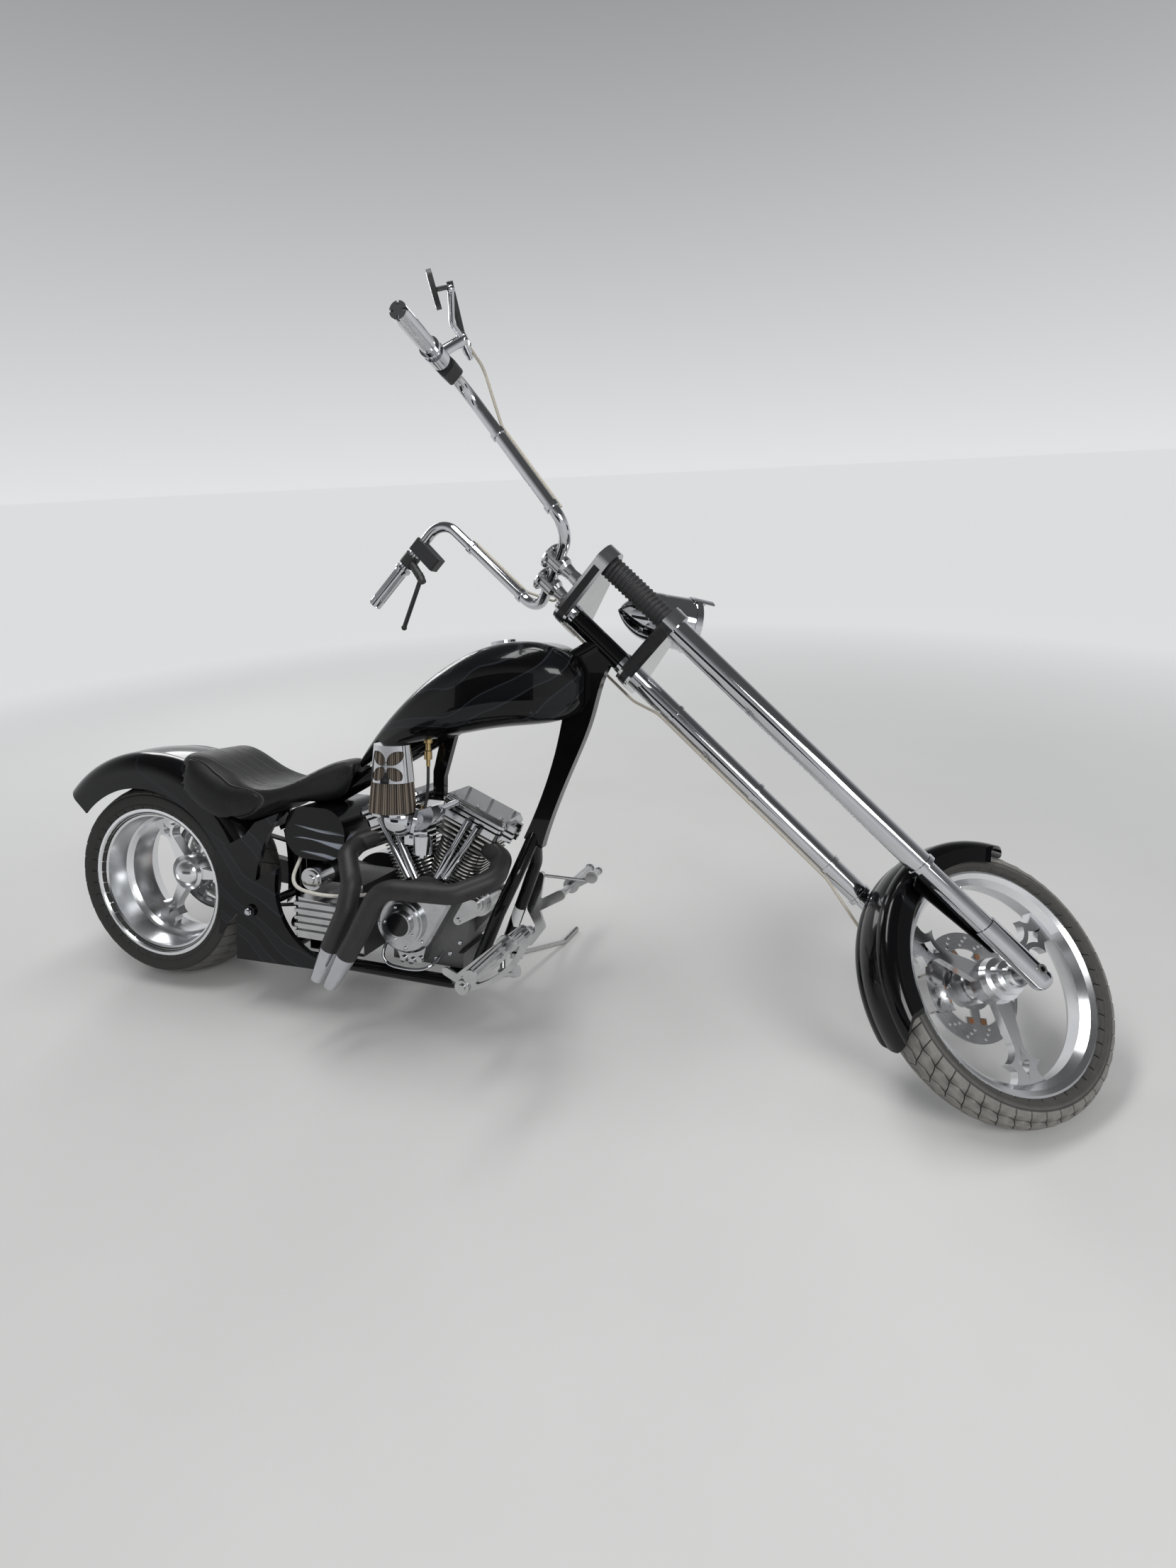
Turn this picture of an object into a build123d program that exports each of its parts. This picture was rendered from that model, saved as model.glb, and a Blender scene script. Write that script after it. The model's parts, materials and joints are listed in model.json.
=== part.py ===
from build123d import *
import os
from math import sin, cos, sqrt, atan2, radians, degrees

os.makedirs("parts", exist_ok=True)

# A long chopper, parked on its side stand with the steering turned to its left stop.
# It is modelled upright: X forward from the rear axle, Y left, Z up from the ground.
# The fork is modelled in its own frame: Z up the steering axis, X forward, Y left,
# with the origin level with the front axle. Every piece is then turned to the parked pose.
# All lengths are in millimetres and all angles in degrees.

# Stance
WHEELBASE = 2525.0
RAKE = 49.3                 # steering axis from the vertical
TREE_OFFSET = 98.0          # fork legs ahead of the steering axis
STEERING_LOCK = 48.0        # each way from straight ahead
LEAN = 13.0                 # to the left, on the side stand

# Tyres and rims
REAR_TYRE_RADIUS = 330.0
REAR_TYRE_WIDTH = 250.0
REAR_CROWN_RADIUS = 240.0   # curvature of the tread across the tyre
REAR_BEAD_RADIUS = 229.0
REAR_LIP_RADIUS = 246.0
REAR_RIM_WIDTH = 230.0
FRONT_TYRE_RADIUS = 350.0
FRONT_TYRE_WIDTH = 120.0
FRONT_CROWN_RADIUS = 65.0
FRONT_BEAD_RADIUS = 267.0
FRONT_LIP_RADIUS = 284.0
FRONT_RIM_WIDTH = 90.0
RIM_FLANGE = 9.0            # thickness of the rim's edge beside the bead
BEAD_GAP = 0.2              # between the tyre and the rim

# Wheels
SPOKE_COUNT = 3
FRONT_SPOKE_ANGLE = 41.0    # of the first spoke, upwards from straight ahead
FRONT_SPOKE_THICKNESS = 24.0
REAR_SPOKE_THICKNESS = 34.0
REAR_SPOKE_Y = 34.0         # middle of the spokes: the right side is a deep dish
FRONT_HUB_RADIUS = 34.0
REAR_HUB_RADIUS = 50.0
FRONT_AXLE_RADIUS = 12.5
REAR_AXLE_RADIUS = 20.0
FRONT_AXLE_BORE = 7.0       # both axles are hollow, for the pins of workshop stands
REAR_AXLE_BORE = 11.0
REAR_BORE_DEPTH = 90.0
RUNNING_FIT = 0.06          # radial clearance of a shaft in its bore

# Fork
LEG_SPACING = 260.0         # between the two legs' middles
SLIDER_DIAMETER = 58.0
STANCHION_DIAMETER = 50.0
COVER_DIAMETER = 62.0
SLIDER_BOTTOM = -47.0       # along the steering axis from the front axle
SLIDER_TOP = 155.0
COVER_BOTTOM = 354.0
LOWER_TREE_Z = 1227.0
TREE_SPACING = 239.0
TREE_THICKNESS = 38.0
CLAMP_RADIUS = 43.0
STEM_DIAMETER = 25.4
BEARING_CUP_HEIGHT = 14.0
TURNING_GAP = 0.6           # between the trees and the bearing cups

# Frame
HEAD_TUBE_DIAMETER = 54.0
HEAD_TUBE_BORE = 40.0
TUBE_DIAMETER = 38.0
BACKBONE_DIAMETER = 50.0
DOWNTUBE_WIDTH = 40.0
STAY_THICKNESS = 24.0
RAIL_Y = 120.0
RAIL_Z = 168.0
PANEL_THICKNESS = 17.0
SEAT_TUBE_X = 470.0

# Driveline
ENGINE_X = 970.0
ENGINE_Z = 330.0
CYLINDER_ANGLE = 22.5       # each way from the vertical
CRANKCASE_RADIUS = 132.0
CRANKCASE_HALF_WIDTH = 82.0
CYLINDER_BASE = 128.0       # distances from the crank's middle, along the cylinder
CYLINDER_TOP = 250.0
HEAD_TOP = 312.0
ROCKER_TOP = 376.0
FIN_DIAMETER = 150.0
FIN_COUNT = 11
FIN_THICKNESS = 3.6
TRANSMISSION_X = 668.0
BELT_Y = 146.0
BELT_WIDTH = 28.0
BELT_SIDE_GAP = 1.0         # between the belt and the pulleys' flanges
REAR_PULLEY_RADIUS = 160.0
FRONT_PULLEY_RADIUS = 52.0
BELT_THICKNESS = 6.0
PIPE_DIAMETER = 57.0

# Rear end
ARM_Y = 190.0               # inner face of the single arm on the left
ARM_THICKNESS = 34.0
ARM_PIVOT_X = 403.0
ARM_PIVOT_Z = 304.0
REAR_FENDER_RADIUS = 435.0
REAR_FENDER_WIDTH = 300.0
FENDER_GAUGE = 4.0
FRONT_FENDER_GAP = 18.0     # from the tread to the inside of the fender
FRONT_FENDER_WIDTH = 148.0

# Brakes
DISC_RADIUS = 146.0
DISC_THICKNESS = 6.0
FRONT_DISC_Y = 80.0
REAR_DISC_Y = 178.0

# Bars
BAR_DIAMETER = 32.0
GRIP_DIAMETER = 40.0
GRIP_LENGTH = 150.0
RISER_X = 57.0
RISER_Y = 47.0
RISER_HEIGHT = 93.0         # from the top tree's upper face to the bar's middle

# Side stand
STAND_PIVOT = (1150.0, 172.0, 152.0)
STAND_ROD_DIAMETER = 17.0
STAND_ELBOW = (1232.0, 423.0)    # places over the ground, in the parked pose
STAND_TIP = (1251.0, 514.0)
STAND_AXIS_TILT = 9.0
STAND_EYE_RADIUS = 20.0
STAND_EYE_HEIGHT = 26.0
STAND_PIN_RADIUS = 8.0
STAND_LUG_THICKNESS = 8.0

# Where the origin lies on the ground, in the parked pose
ORIGIN_X = 1248.0
ORIGIN_Y = 87.0

SEAT_GAP = 0.3
FRONT_FENDER_RADIUS = FRONT_TYRE_RADIUS + FRONT_FENDER_GAP + FENDER_GAUGE

FRONT_AXLE = Vector(WHEELBASE, 0, FRONT_TYRE_RADIUS)
AXIS_UP = Vector(-sin(radians(RAKE)), 0, cos(radians(RAKE)))
AXIS_FORWARD = Vector(cos(radians(RAKE)), 0, sin(radians(RAKE)))
AXIS_FOOT = FRONT_AXLE - AXIS_FORWARD * TREE_OFFSET
FORK = Plane(origin=AXIS_FOOT, x_dir=AXIS_FORWARD, z_dir=AXIS_UP).location
TURN = FORK * Rot(Z=STEERING_LOCK) * FORK.inverse()
LOWER_TREE_TOP = LOWER_TREE_Z + TREE_THICKNESS / 2
TOP_TREE_Z = LOWER_TREE_Z + TREE_SPACING
TOP_TREE_BOTTOM = TOP_TREE_Z - TREE_THICKNESS / 2
TOP_TREE_TOP = TOP_TREE_Z + TREE_THICKNESS / 2
HEAD_BOTTOM = LOWER_TREE_TOP + TURNING_GAP + BEARING_CUP_HEIGHT
HEAD_TOP_END = TOP_TREE_BOTTOM - TURNING_GAP - BEARING_CUP_HEIGHT
LEG_Y = LEG_SPACING / 2
PANEL_INNER_Y = RAIL_Y + TUBE_DIAMETER / 2
LEFT_PANEL_Y = BELT_Y + BELT_WIDTH / 2 + 6.0


# Parked pose: leaned over, then pitched until both tyres touch the ground

def leaned(pitch):
    return Rot(X=-LEAN) * Rot(Y=pitch)


def tyre_bottom(pose, centre, axle, radius, crown):
    middle = (pose * Pos(centre)).position
    across = (pose * Pos(centre + axle)).position - middle
    return middle.Z - (radius - crown) * sqrt(1 - across.Z ** 2) - crown


FRONT_AXLE_TURNED = (TURN * Pos(FRONT_AXLE)).position
FRONT_AXLE_DIRECTION = (TURN * Pos(FRONT_AXLE + Vector(0, 1, 0))).position - FRONT_AXLE_TURNED
REAR_AXLE = Vector(0, 0, REAR_TYRE_RADIUS)
pitch = 0.0
for step in range(8):
    rear = tyre_bottom(leaned(pitch), REAR_AXLE, Vector(0, 1, 0), REAR_TYRE_RADIUS, REAR_CROWN_RADIUS)
    front = tyre_bottom(leaned(pitch), FRONT_AXLE_TURNED, FRONT_AXLE_DIRECTION, FRONT_TYRE_RADIUS,
                        FRONT_CROWN_RADIUS)
    pitch += degrees(atan2(front - rear, WHEELBASE))
PARKED = Pos(-ORIGIN_X, -ORIGIN_Y, -rear) * leaned(pitch)


def rod(start, end, radius, bore=0.0):
    start, end = Vector(start), Vector(end)
    plane = Plane(origin=start, z_dir=end - start)
    body = Solid.make_cylinder(radius, (end - start).length, plane)
    if bore:
        body = body - Solid.make_cylinder(bore, (end - start).length, plane)
    return body


def bend(edge, radius):
    # A circle turned about the middle of an arc
    axis = Axis(edge.arc_center, (edge % 0).cross(edge.arc_center - edge @ 0))
    section = Plane(origin=edge @ 0, z_dir=edge % 0) * Circle(radius)
    return revolve(section, axis, degrees(edge.length / edge.radius))


def bent_tube(points, radii, radius):
    # Straight runs joined by round bends
    path = FilletPolyline(*points, radius=radii)
    pieces = [rod(edge @ 0, edge @ 1, radius) if edge.geom_type == GeomType.LINE else bend(edge, radius)
              for edge in path.edges()]
    return pieces[0].fuse(*pieces[1:])


def across(outline, low, high):
    # A side-view outline (x, z) as a plate from y = low to y = high
    face = Plane.XZ * outline
    return extrude(Pos(0, low, 0) * face, high - low, dir=(0, 1, 0))


def turned(outline, angle=360.0):
    # An outline of (radius, y) revolved about the Y axis
    return revolve(outline, Axis.Y, angle)


def ring(outer, inner, low, high):
    return turned(Pos((outer + inner) / 2, (low + high) / 2) * Rectangle(outer - inner, high - low))


def polar(radius, angle):
    return (radius * cos(radians(angle)), radius * sin(radians(angle)))


def hull(*circles):
    # The outline stretched round circles (x, z, radius)
    edges = [Pos(x, z) * Edge.make_circle(radius) for x, z, radius in circles]
    with BuildSketch() as outline:
        make_hull(edges)
    return outline.sketch


def star(count, outer, inner):
    # A closed outline of straight ridges and valleys, for pleats and ribbed rubbers
    corners = [polar(outer if index % 2 else inner, 180.0 * index / count) for index in range(2 * count)]
    return make_face(Polyline(*corners, corners[0]))


def stepped(place, axis, steps):
    # Coaxial rounds along an axis: columns start, end, radius
    axis = Vector(*axis).normalized()
    place = Vector(*place)
    rounds = [rod(place + axis * start, place + axis * end, radius) for start, end, radius in steps]
    return rounds[0].fuse(*rounds[1:]) if len(rounds) > 1 else rounds[0]


# Tyres

def tyre(radius, width, crown, bead, lip, rim_width):
    half = rim_width / 2 - RIM_FLANGE - BEAD_GAP
    bead = bead + BEAD_GAP
    shoulder_y = width * 0.43
    shoulder_r = radius - crown + sqrt(crown ** 2 - shoulder_y ** 2)
    side_r = (lip + shoulder_r) / 2
    with BuildSketch() as section:
        with BuildLine():
            Polyline((lip, -half), (bead, -half), (bead, half), (lip, half))
            ThreePointArc((lip, half), (side_r, width / 2), (shoulder_r, shoulder_y))
            ThreePointArc((shoulder_r, shoulder_y), (radius, 0), (shoulder_r, -shoulder_y))
            ThreePointArc((shoulder_r, -shoulder_y), (side_r, -width / 2), (lip, -half))
        make_face()
    return turned(section.sketch)


def rear_tyre():
    return tyre(REAR_TYRE_RADIUS, REAR_TYRE_WIDTH, REAR_CROWN_RADIUS, REAR_BEAD_RADIUS,
                REAR_LIP_RADIUS, REAR_RIM_WIDTH)


def front_tyre():
    return tyre(FRONT_TYRE_RADIUS, FRONT_TYRE_WIDTH, FRONT_CROWN_RADIUS, FRONT_BEAD_RADIUS,
                FRONT_LIP_RADIUS, FRONT_RIM_WIDTH)


# Wheels: a rim, three pointed spokes with a four-cornered window, and a stepped hub

def spoke(hub_radius, rim_radius, middle_y, thickness):
    # Half-widths along the spoke, as shares of the way from the axle to the rim
    root, waist, spur = hub_radius * 0.9, rim_radius * 0.60, rim_radius * 0.79
    neck, foot = rim_radius * 0.86, rim_radius * 1.005
    with BuildSketch() as blade:
        with BuildLine():
            for side in (1, -1):
                Polyline((0, side * rim_radius * 0.10), (root, side * rim_radius * 0.10),
                         (waist, side * rim_radius * 0.062))
                ThreePointArc((waist, side * rim_radius * 0.062), (spur * 0.93, side * rim_radius * 0.095),
                              (spur, side * rim_radius * 0.205))
                ThreePointArc((spur, side * rim_radius * 0.205), (neck * 0.985, side * rim_radius * 0.135),
                              (neck, side * rim_radius * 0.125))
                ThreePointArc((neck, side * rim_radius * 0.125), (neck * 1.09, side * rim_radius * 0.15),
                              (foot, side * rim_radius * 0.24))
            Line((0, rim_radius * 0.10), (0, -rim_radius * 0.10))
            ThreePointArc((foot, rim_radius * 0.24), (sqrt(foot ** 2 + (rim_radius * 0.24) ** 2), 0),
                          (foot, -rim_radius * 0.24))
        make_face()
        with BuildLine():
            corners = [(waist * 1.06, 0), (spur, rim_radius * 0.075), (rim_radius * 0.955, 0),
                       (spur, -rim_radius * 0.075)]
            for index in range(4):
                first, second = Vector(*corners[index]), Vector(*corners[(index + 1) % 4])
                middle = (first + second) * 0.5
                centre = Vector(spur, 0)
                ThreePointArc(first, middle + (centre - middle) * 0.22, second)
        make_face(mode=Mode.SUBTRACT)
    blade = Plane.XZ * blade.sketch
    return extrude(Pos(0, middle_y - thickness / 2, 0) * blade, thickness, dir=(0, 1, 0))


def wheel(hub, rim_section, hub_radius, barrel_radius, middle_y, thickness, first_spoke):
    spokes = spoke(hub_radius, barrel_radius, middle_y, thickness)
    body = Rot(Y=7 - first_spoke) * (turned(hub) + turned(rim_section))
    for index in range(SPOKE_COUNT):
        body = body + Rot(Y=360.0 / SPOKE_COUNT * index - first_spoke) * spokes
    return body


def rear_wheel():
    half = REAR_RIM_WIDTH / 2
    inner = half - RIM_FLANGE
    rim = make_face(Polyline((REAR_LIP_RADIUS, -half), (REAR_LIP_RADIUS, -inner), (REAR_BEAD_RADIUS, -inner),
                             (REAR_BEAD_RADIUS, inner), (REAR_LIP_RADIUS, inner), (REAR_LIP_RADIUS, half),
                             (237, half), (218, half - 12), (198, 60), (198, -18), (206, -28), (212, -34),
                             (219, -half + 18), (228, -half + 14), (237, -half), (REAR_LIP_RADIUS, -half)))
    low, high = REAR_SPOKE_Y - REAR_SPOKE_THICKNESS / 2, REAR_SPOKE_Y + REAR_SPOKE_THICKNESS / 2
    dome_edge, dome_height = 48.0, 22.0
    dome_radius = (dome_edge ** 2 + dome_height ** 2) / (2 * dome_height)
    half_angle = atan2(dome_edge, dome_radius - dome_height) / 2
    top = low - 14 - dome_height
    with BuildSketch() as hub:
        with BuildLine():
            Polyline((0, top), (0, BELT_Y - BELT_WIDTH / 2 - 2), (REAR_HUB_RADIUS, BELT_Y - BELT_WIDTH / 2 - 2),
                     (REAR_HUB_RADIUS, high + 12), (60, high + 6), (60, low - 4), (50, low - 10), (dome_edge, low - 14))
            ThreePointArc((dome_edge, low - 14),
                          (dome_radius * sin(half_angle), top + dome_radius * (1 - cos(half_angle))), (0, top))
        make_face()
    return wheel(hub.sketch, rim, REAR_HUB_RADIUS, 202, REAR_SPOKE_Y, REAR_SPOKE_THICKNESS, 0.0)


def front_wheel():
    half = FRONT_RIM_WIDTH / 2
    inner = half - RIM_FLANGE
    rim = make_face(Polyline((FRONT_LIP_RADIUS, -half), (FRONT_LIP_RADIUS, -inner), (FRONT_BEAD_RADIUS, -inner),
                             (FRONT_BEAD_RADIUS, inner), (FRONT_LIP_RADIUS, inner), (FRONT_LIP_RADIUS, half),
                             (276, half), (264, half - 8), (250, 18), (250, -18), (264, -half + 8), (276, -half),
                             (FRONT_LIP_RADIUS, -half)))
    hub = make_face(Polyline((FRONT_AXLE_RADIUS + RUNNING_FIT, -92), (27, -92), (30, -84), (30, -66), (42, -62),
                             (42, -40), (54, -36), (58, -18), (58, 18), (50, 24), (40, 30), (40, 58),
                             (46, 60), (46, FRONT_DISC_Y - DISC_THICKNESS / 2), (30, FRONT_DISC_Y - DISC_THICKNESS / 2),
                             (30, 92), (FRONT_AXLE_RADIUS + RUNNING_FIT, 92),
                             (FRONT_AXLE_RADIUS + RUNNING_FIT, -92)))
    body = wheel(hub, rim, FRONT_HUB_RADIUS, 252, 0, FRONT_SPOKE_THICKNESS, FRONT_SPOKE_ANGLE)
    return body - rod((0, -93, 0), (0, 93, 0), FRONT_AXLE_RADIUS + RUNNING_FIT)


def brake_disc(middle_y, bore):
    # A drilled band on five arms, each with two bobbins
    low, high = middle_y - DISC_THICKNESS / 2, middle_y + DISC_THICKNESS / 2
    pieces = [ring(DISC_RADIUS, 102, low, high), ring(60, bore, low, high)]
    for index in range(5):
        spread = Rot(Y=90 + 72 * index) * Pos(0, middle_y, 0)
        pieces.append(spread * Pos(68, 0, 0) * Box(36, DISC_THICKNESS, 26))
        pieces.append(spread * Pos(92, 0, 0) * Box(26, DISC_THICKNESS, 62))
        for side in (-1, 1):
            pieces.append(spread * Pos(89, 0, 19 * side) * Rot(X=90) * Cylinder(8, DISC_THICKNESS + 3))
    holes = []
    for index in range(15):
        for step in range(3):
            turn = 24 * index + 5 * step
            holes.append(Rot(Y=turn) * Pos(112 + 11 * step, middle_y, 0) * Rot(X=90) * Cylinder(4.4, 2 * DISC_THICKNESS))
    return pieces[0].fuse(*pieces[1:]) - holes


def front_disc():
    return brake_disc(FRONT_DISC_Y, 30)


def rear_disc():
    return brake_disc(REAR_DISC_Y, REAR_AXLE_RADIUS)


def rear_pulley():
    low, high = BELT_Y - BELT_WIDTH / 2, BELT_Y + BELT_WIDTH / 2
    body = ring(REAR_PULLEY_RADIUS, REAR_PULLEY_RADIUS - 16, low, high) + ring(58, REAR_AXLE_RADIUS, low - 2, high)
    for index in range(6):
        body = body + Rot(Y=60 * index) * Pos(100, BELT_Y, 0) * Box(100, BELT_WIDTH * 0.6, 26)
    flange = ring(REAR_PULLEY_RADIUS + 5, REAR_PULLEY_RADIUS - 12, high, high + 2)
    return body + flange


def rear_spindle():
    start = BELT_Y - BELT_WIDTH / 2 - 2
    end = ARM_Y + ARM_THICKNESS + 4
    body = rod((0, start, 0), (0, end, 0), REAR_AXLE_RADIUS) + rod((0, end, 0), (0, end + 16, 0), 32)
    return body - rod((0, end + 16 - REAR_BORE_DEPTH, 0), (0, end + 30, 0), REAR_AXLE_BORE)


# Single-sided arm on the left, with the round carrier of the spindle

def swingarm():
    low, high = ARM_Y, ARM_Y + ARM_THICKNESS
    pivot = Vector(ARM_PIVOT_X, 0, ARM_PIVOT_Z)
    hub = Vector(0, 0, REAR_TYRE_RADIUS)
    with BuildSketch() as outline:
        with BuildLine():
            Polyline((hub.X - 20, hub.Z + 44), (hub.X + 120, hub.Z + 46), (pivot.X - 20, pivot.Z + 36),
                     (pivot.X + 10, pivot.Z + 36), (pivot.X + 10, pivot.Z - 36), (pivot.X - 20, pivot.Z - 36),
                     (hub.X + 130, hub.Z - 52), (hub.X - 20, hub.Z - 44), (hub.X - 20, hub.Z + 44))
        make_face()
        with Locations((hub.X, hub.Z)):
            Circle(62)
        with Locations((pivot.X, pivot.Z)):
            Circle(38)
    arm = across(outline.sketch, low, high) + pivot_shaft()
    return arm - rod((0, low - 1, REAR_TYRE_RADIUS), (0, high + 1, REAR_TYRE_RADIUS), REAR_AXLE_RADIUS + RUNNING_FIT)


def pivot_shaft():
    start = -(PANEL_INNER_Y + PANEL_THICKNESS + 8)
    shaft = rod((ARM_PIVOT_X, start, ARM_PIVOT_Z), (ARM_PIVOT_X, ARM_Y, ARM_PIVOT_Z), 14)
    return shaft + rod((ARM_PIVOT_X, start, ARM_PIVOT_Z), (ARM_PIVOT_X, start + 8, ARM_PIVOT_Z), 20)


def rear_caliper():
    low, high = REAR_DISC_Y - DISC_THICKNESS / 2, REAR_DISC_Y + DISC_THICKNESS / 2
    block = Pos(132, (low + high) / 2 + 10, 0) * Box(66, high - low + 40, 90)
    block = block - ring(DISC_RADIUS + 6, 60, low - 5, high + 5)
    block = block - ring(400, 10, 100, low - 11)
    bracket = Pos(88, ARM_Y + 16, 0) * Box(60, 12, 40)
    return Pos(0, 0, REAR_TYRE_RADIUS) * Rot(Y=-128) * (block + bracket) - rod(
        (0, 0, REAR_TYRE_RADIUS), (0, 400, REAR_TYRE_RADIUS), 62)


# Frame

HEAD_LOW = AXIS_FOOT + AXIS_UP * HEAD_BOTTOM
HEAD_HIGH = AXIS_FOOT + AXIS_UP * HEAD_TOP_END
HEAD_MIDDLE = (HEAD_LOW + HEAD_HIGH) * 0.5
BACKBONE_FRONT = HEAD_MIDDLE - AXIS_UP * 10
BACKBONE_REAR = Vector(555, 0, 622)
SPLIT = Vector(1270, 0, 606)

# Columns: share of the way from the split to the neck, distance ahead of that line
DOWNTUBE_FRONT = ((-0.046, 40.7), (0.132, 25.0), (0.392, 12.1), (0.707, -5.0), (0.924, -26.0), (1.0, -22.0))
DOWNTUBE_BACK = ((-0.046, -19.3), (0.106, -23.2), (0.403, -45.0), (0.60, -72.0), (0.80, -102.0), (1.03, -92.0))


def head_envelope():
    return rod(HEAD_LOW, HEAD_HIGH, HEAD_TUBE_DIAMETER / 2)


def bearing_cups():
    cups = []
    for base, end in ((HEAD_LOW, HEAD_LOW - AXIS_UP * BEARING_CUP_HEIGHT),
                      (HEAD_HIGH, HEAD_HIGH + AXIS_UP * BEARING_CUP_HEIGHT)):
        cups.append(rod(base, end, HEAD_TUBE_DIAMETER / 2 + 3, STEM_DIAMETER / 2 + RUNNING_FIT))
    return Compound(cups)


def backbone_envelope(radius):
    return rod(BACKBONE_FRONT, BACKBONE_REAR, radius)


def beside_downtube(share, offset):
    # A place (x, z) by its share of the way from the split to the neck, and how far ahead of that line it lies
    line = HEAD_LOW - SPLIT
    ahead = Vector(line.Z, 0, -line.X).normalized()
    place = SPLIT + line * share + ahead * offset
    return (place.X, place.Z)


def downtube():
    # A box section, wide at the neck and slim above the split
    front = [beside_downtube(*row) for row in DOWNTUBE_FRONT]
    back = [beside_downtube(*row) for row in DOWNTUBE_BACK]
    with BuildSketch() as outline:
        with BuildLine():
            Spline(*front)
            Spline(*back)
            Line(front[0], back[0])
            Line(front[-1], back[-1])
        make_face()
    return across(outline.sketch, -DOWNTUBE_WIDTH / 2, DOWNTUBE_WIDTH / 2)


def engine_stay():
    # Hangs from the backbone and holds the two rocker boxes together
    plate = across(make_face(Polyline((983, 900), (1034, 920), (985, 745), (985, 688), (950, 688), (950, 760),
                                      (983, 900))), -STAY_THICKNESS / 2, STAY_THICKNESS / 2)
    foot = Pos(ENGINE_X, 0, 684) * Box(110, 60, 10)
    return plate + foot - rocker_box_front() - rocker_box_rear()


def main_frame():
    # Head tube, backbone, boxed downtube and the engine's top stay, welded together
    body = head_envelope() + backbone_envelope(BACKBONE_DIAMETER / 2) + downtube() + engine_stay()
    return body - rod(HEAD_LOW, HEAD_HIGH, HEAD_TUBE_BORE / 2)


def rail(side):
    # From the split in the downtube, out and down, then back along the ground
    points = [SPLIT, Vector(1246, side * 78, 500), Vector(1205, side * 104, 392),
              Vector(1125, side * RAIL_Y, RAIL_Z), Vector(345, side * RAIL_Y, RAIL_Z)]
    return bent_tube(points, [60.0, 120.0, 90.0], TUBE_DIAMETER / 2)


def cradle():
    # Both rails, the crossbars under the engine and the lug of the side stand
    body = rail(1) + rail(-1)
    for x in (TRANSMISSION_X, ENGINE_X + 90):
        body = body + Pos(x, 0, RAIL_Z + 10) * Box(50, 2 * RAIL_Y, 18)
    return body + stand_lug() - downtube()


def seat_tube_path(radius):
    points = [BACKBONE_REAR + Vector(30, 0, 20), Vector(SEAT_TUBE_X, 0, 566), Vector(SEAT_TUBE_X, 0, RAIL_Z)]
    return bent_tube(points, 60.0, radius)


def seat_tube():
    body = seat_tube_path(TUBE_DIAMETER / 2)
    crossbar = rod((SEAT_TUBE_X, -RAIL_Y, RAIL_Z), (SEAT_TUBE_X, RAIL_Y, RAIL_Z), TUBE_DIAMETER / 2)
    return body + crossbar - backbone_envelope(BACKBONE_DIAMETER / 2) - rail(1) - rail(-1)


def panel_outline():
    start = polar(312, 28)
    top = polar(440, 28)
    rise = REAR_TYRE_RADIUS
    with BuildSketch() as outline:
        with BuildLine():
            Polyline((start[0], start[1] + rise), (top[0], top[1] + rise), (433, 585), (520, 622), (503, 593))
            ThreePointArc((503, 593), (455, 505), (426, 402))
            Line((426, 402), (503, 447))
            ThreePointArc((503, 447), (520, 285), (660, 178))
            Polyline((660, 178), (660, 150), (343, 140), (352, 290), (278, 211))
            ThreePointArc((278, 211), (289, 362), (start[0], start[1] + rise))
        make_face()
    return outline.sketch


def side_panel_right():
    return across(panel_outline(), -PANEL_INNER_Y - PANEL_THICKNESS, -PANEL_INNER_Y) - rod(
        (ARM_PIVOT_X, -300, ARM_PIVOT_Z), (ARM_PIVOT_X, 300, ARM_PIVOT_Z), 14)


def side_panel_left():
    return across(panel_outline(), LEFT_PANEL_Y, LEFT_PANEL_Y + PANEL_THICKNESS) - rod(
        (ARM_PIVOT_X, -300, ARM_PIVOT_Z), (ARM_PIVOT_X, 300, ARM_PIVOT_Z), 14)


# Fenders: a rounded channel turned about the axle

def channel(radius, width, gauge, edge_radius, corner):
    half = width / 2
    with BuildSketch() as section:
        with BuildLine():
            for inset in (0.0, gauge):
                top, side = radius - inset, half - inset
                Line((edge_radius, -side), (top - corner, -side))
                ThreePointArc((top - corner, -side), (top - corner * 0.3, -side + corner * 0.3), (top - 6, -side + corner))
                ThreePointArc((top - 6, -side + corner), (top, 0), (top - 6, side - corner))
                ThreePointArc((top - 6, side - corner), (top - corner * 0.3, side - corner * 0.3), (top - corner, side))
                Line((top - corner, side), (edge_radius, side))
            Line((edge_radius, -half), (edge_radius, -half + gauge))
            Line((edge_radius, half), (edge_radius, half - gauge))
        make_face()
    return section.sketch


def fender(radius, width, edge_radius, corner, start, end):
    # Angles run from straight ahead, upwards and back
    section = channel(radius, width, FENDER_GAUGE, edge_radius, corner)
    return Rot(Y=-start) * revolve(section, Axis.Y, -(end - start))


def rear_fender():
    return Pos(0, 0, REAR_TYRE_RADIUS) * fender(REAR_FENDER_RADIUS, REAR_FENDER_WIDTH, 318, 66, 28, 137)


def beside_tip(length):
    # What is cut away on both sides of a pointed end, which points down here
    half = FRONT_FENDER_WIDTH / 2 + 1
    corner = Polyline((0, 0), (0, -20), (half, -20), (half, length)) + ThreePointArc(
        (half, length), (0.66 * half, 0.36 * length), (0, 0))
    side = Plane(origin=(200, 0, 0), x_dir=(0, 1, 0), z_dir=(1, 0, 0)) * extrude(make_face(corner), 220)
    return side + mirror(side, about=Plane.XZ)


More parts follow.
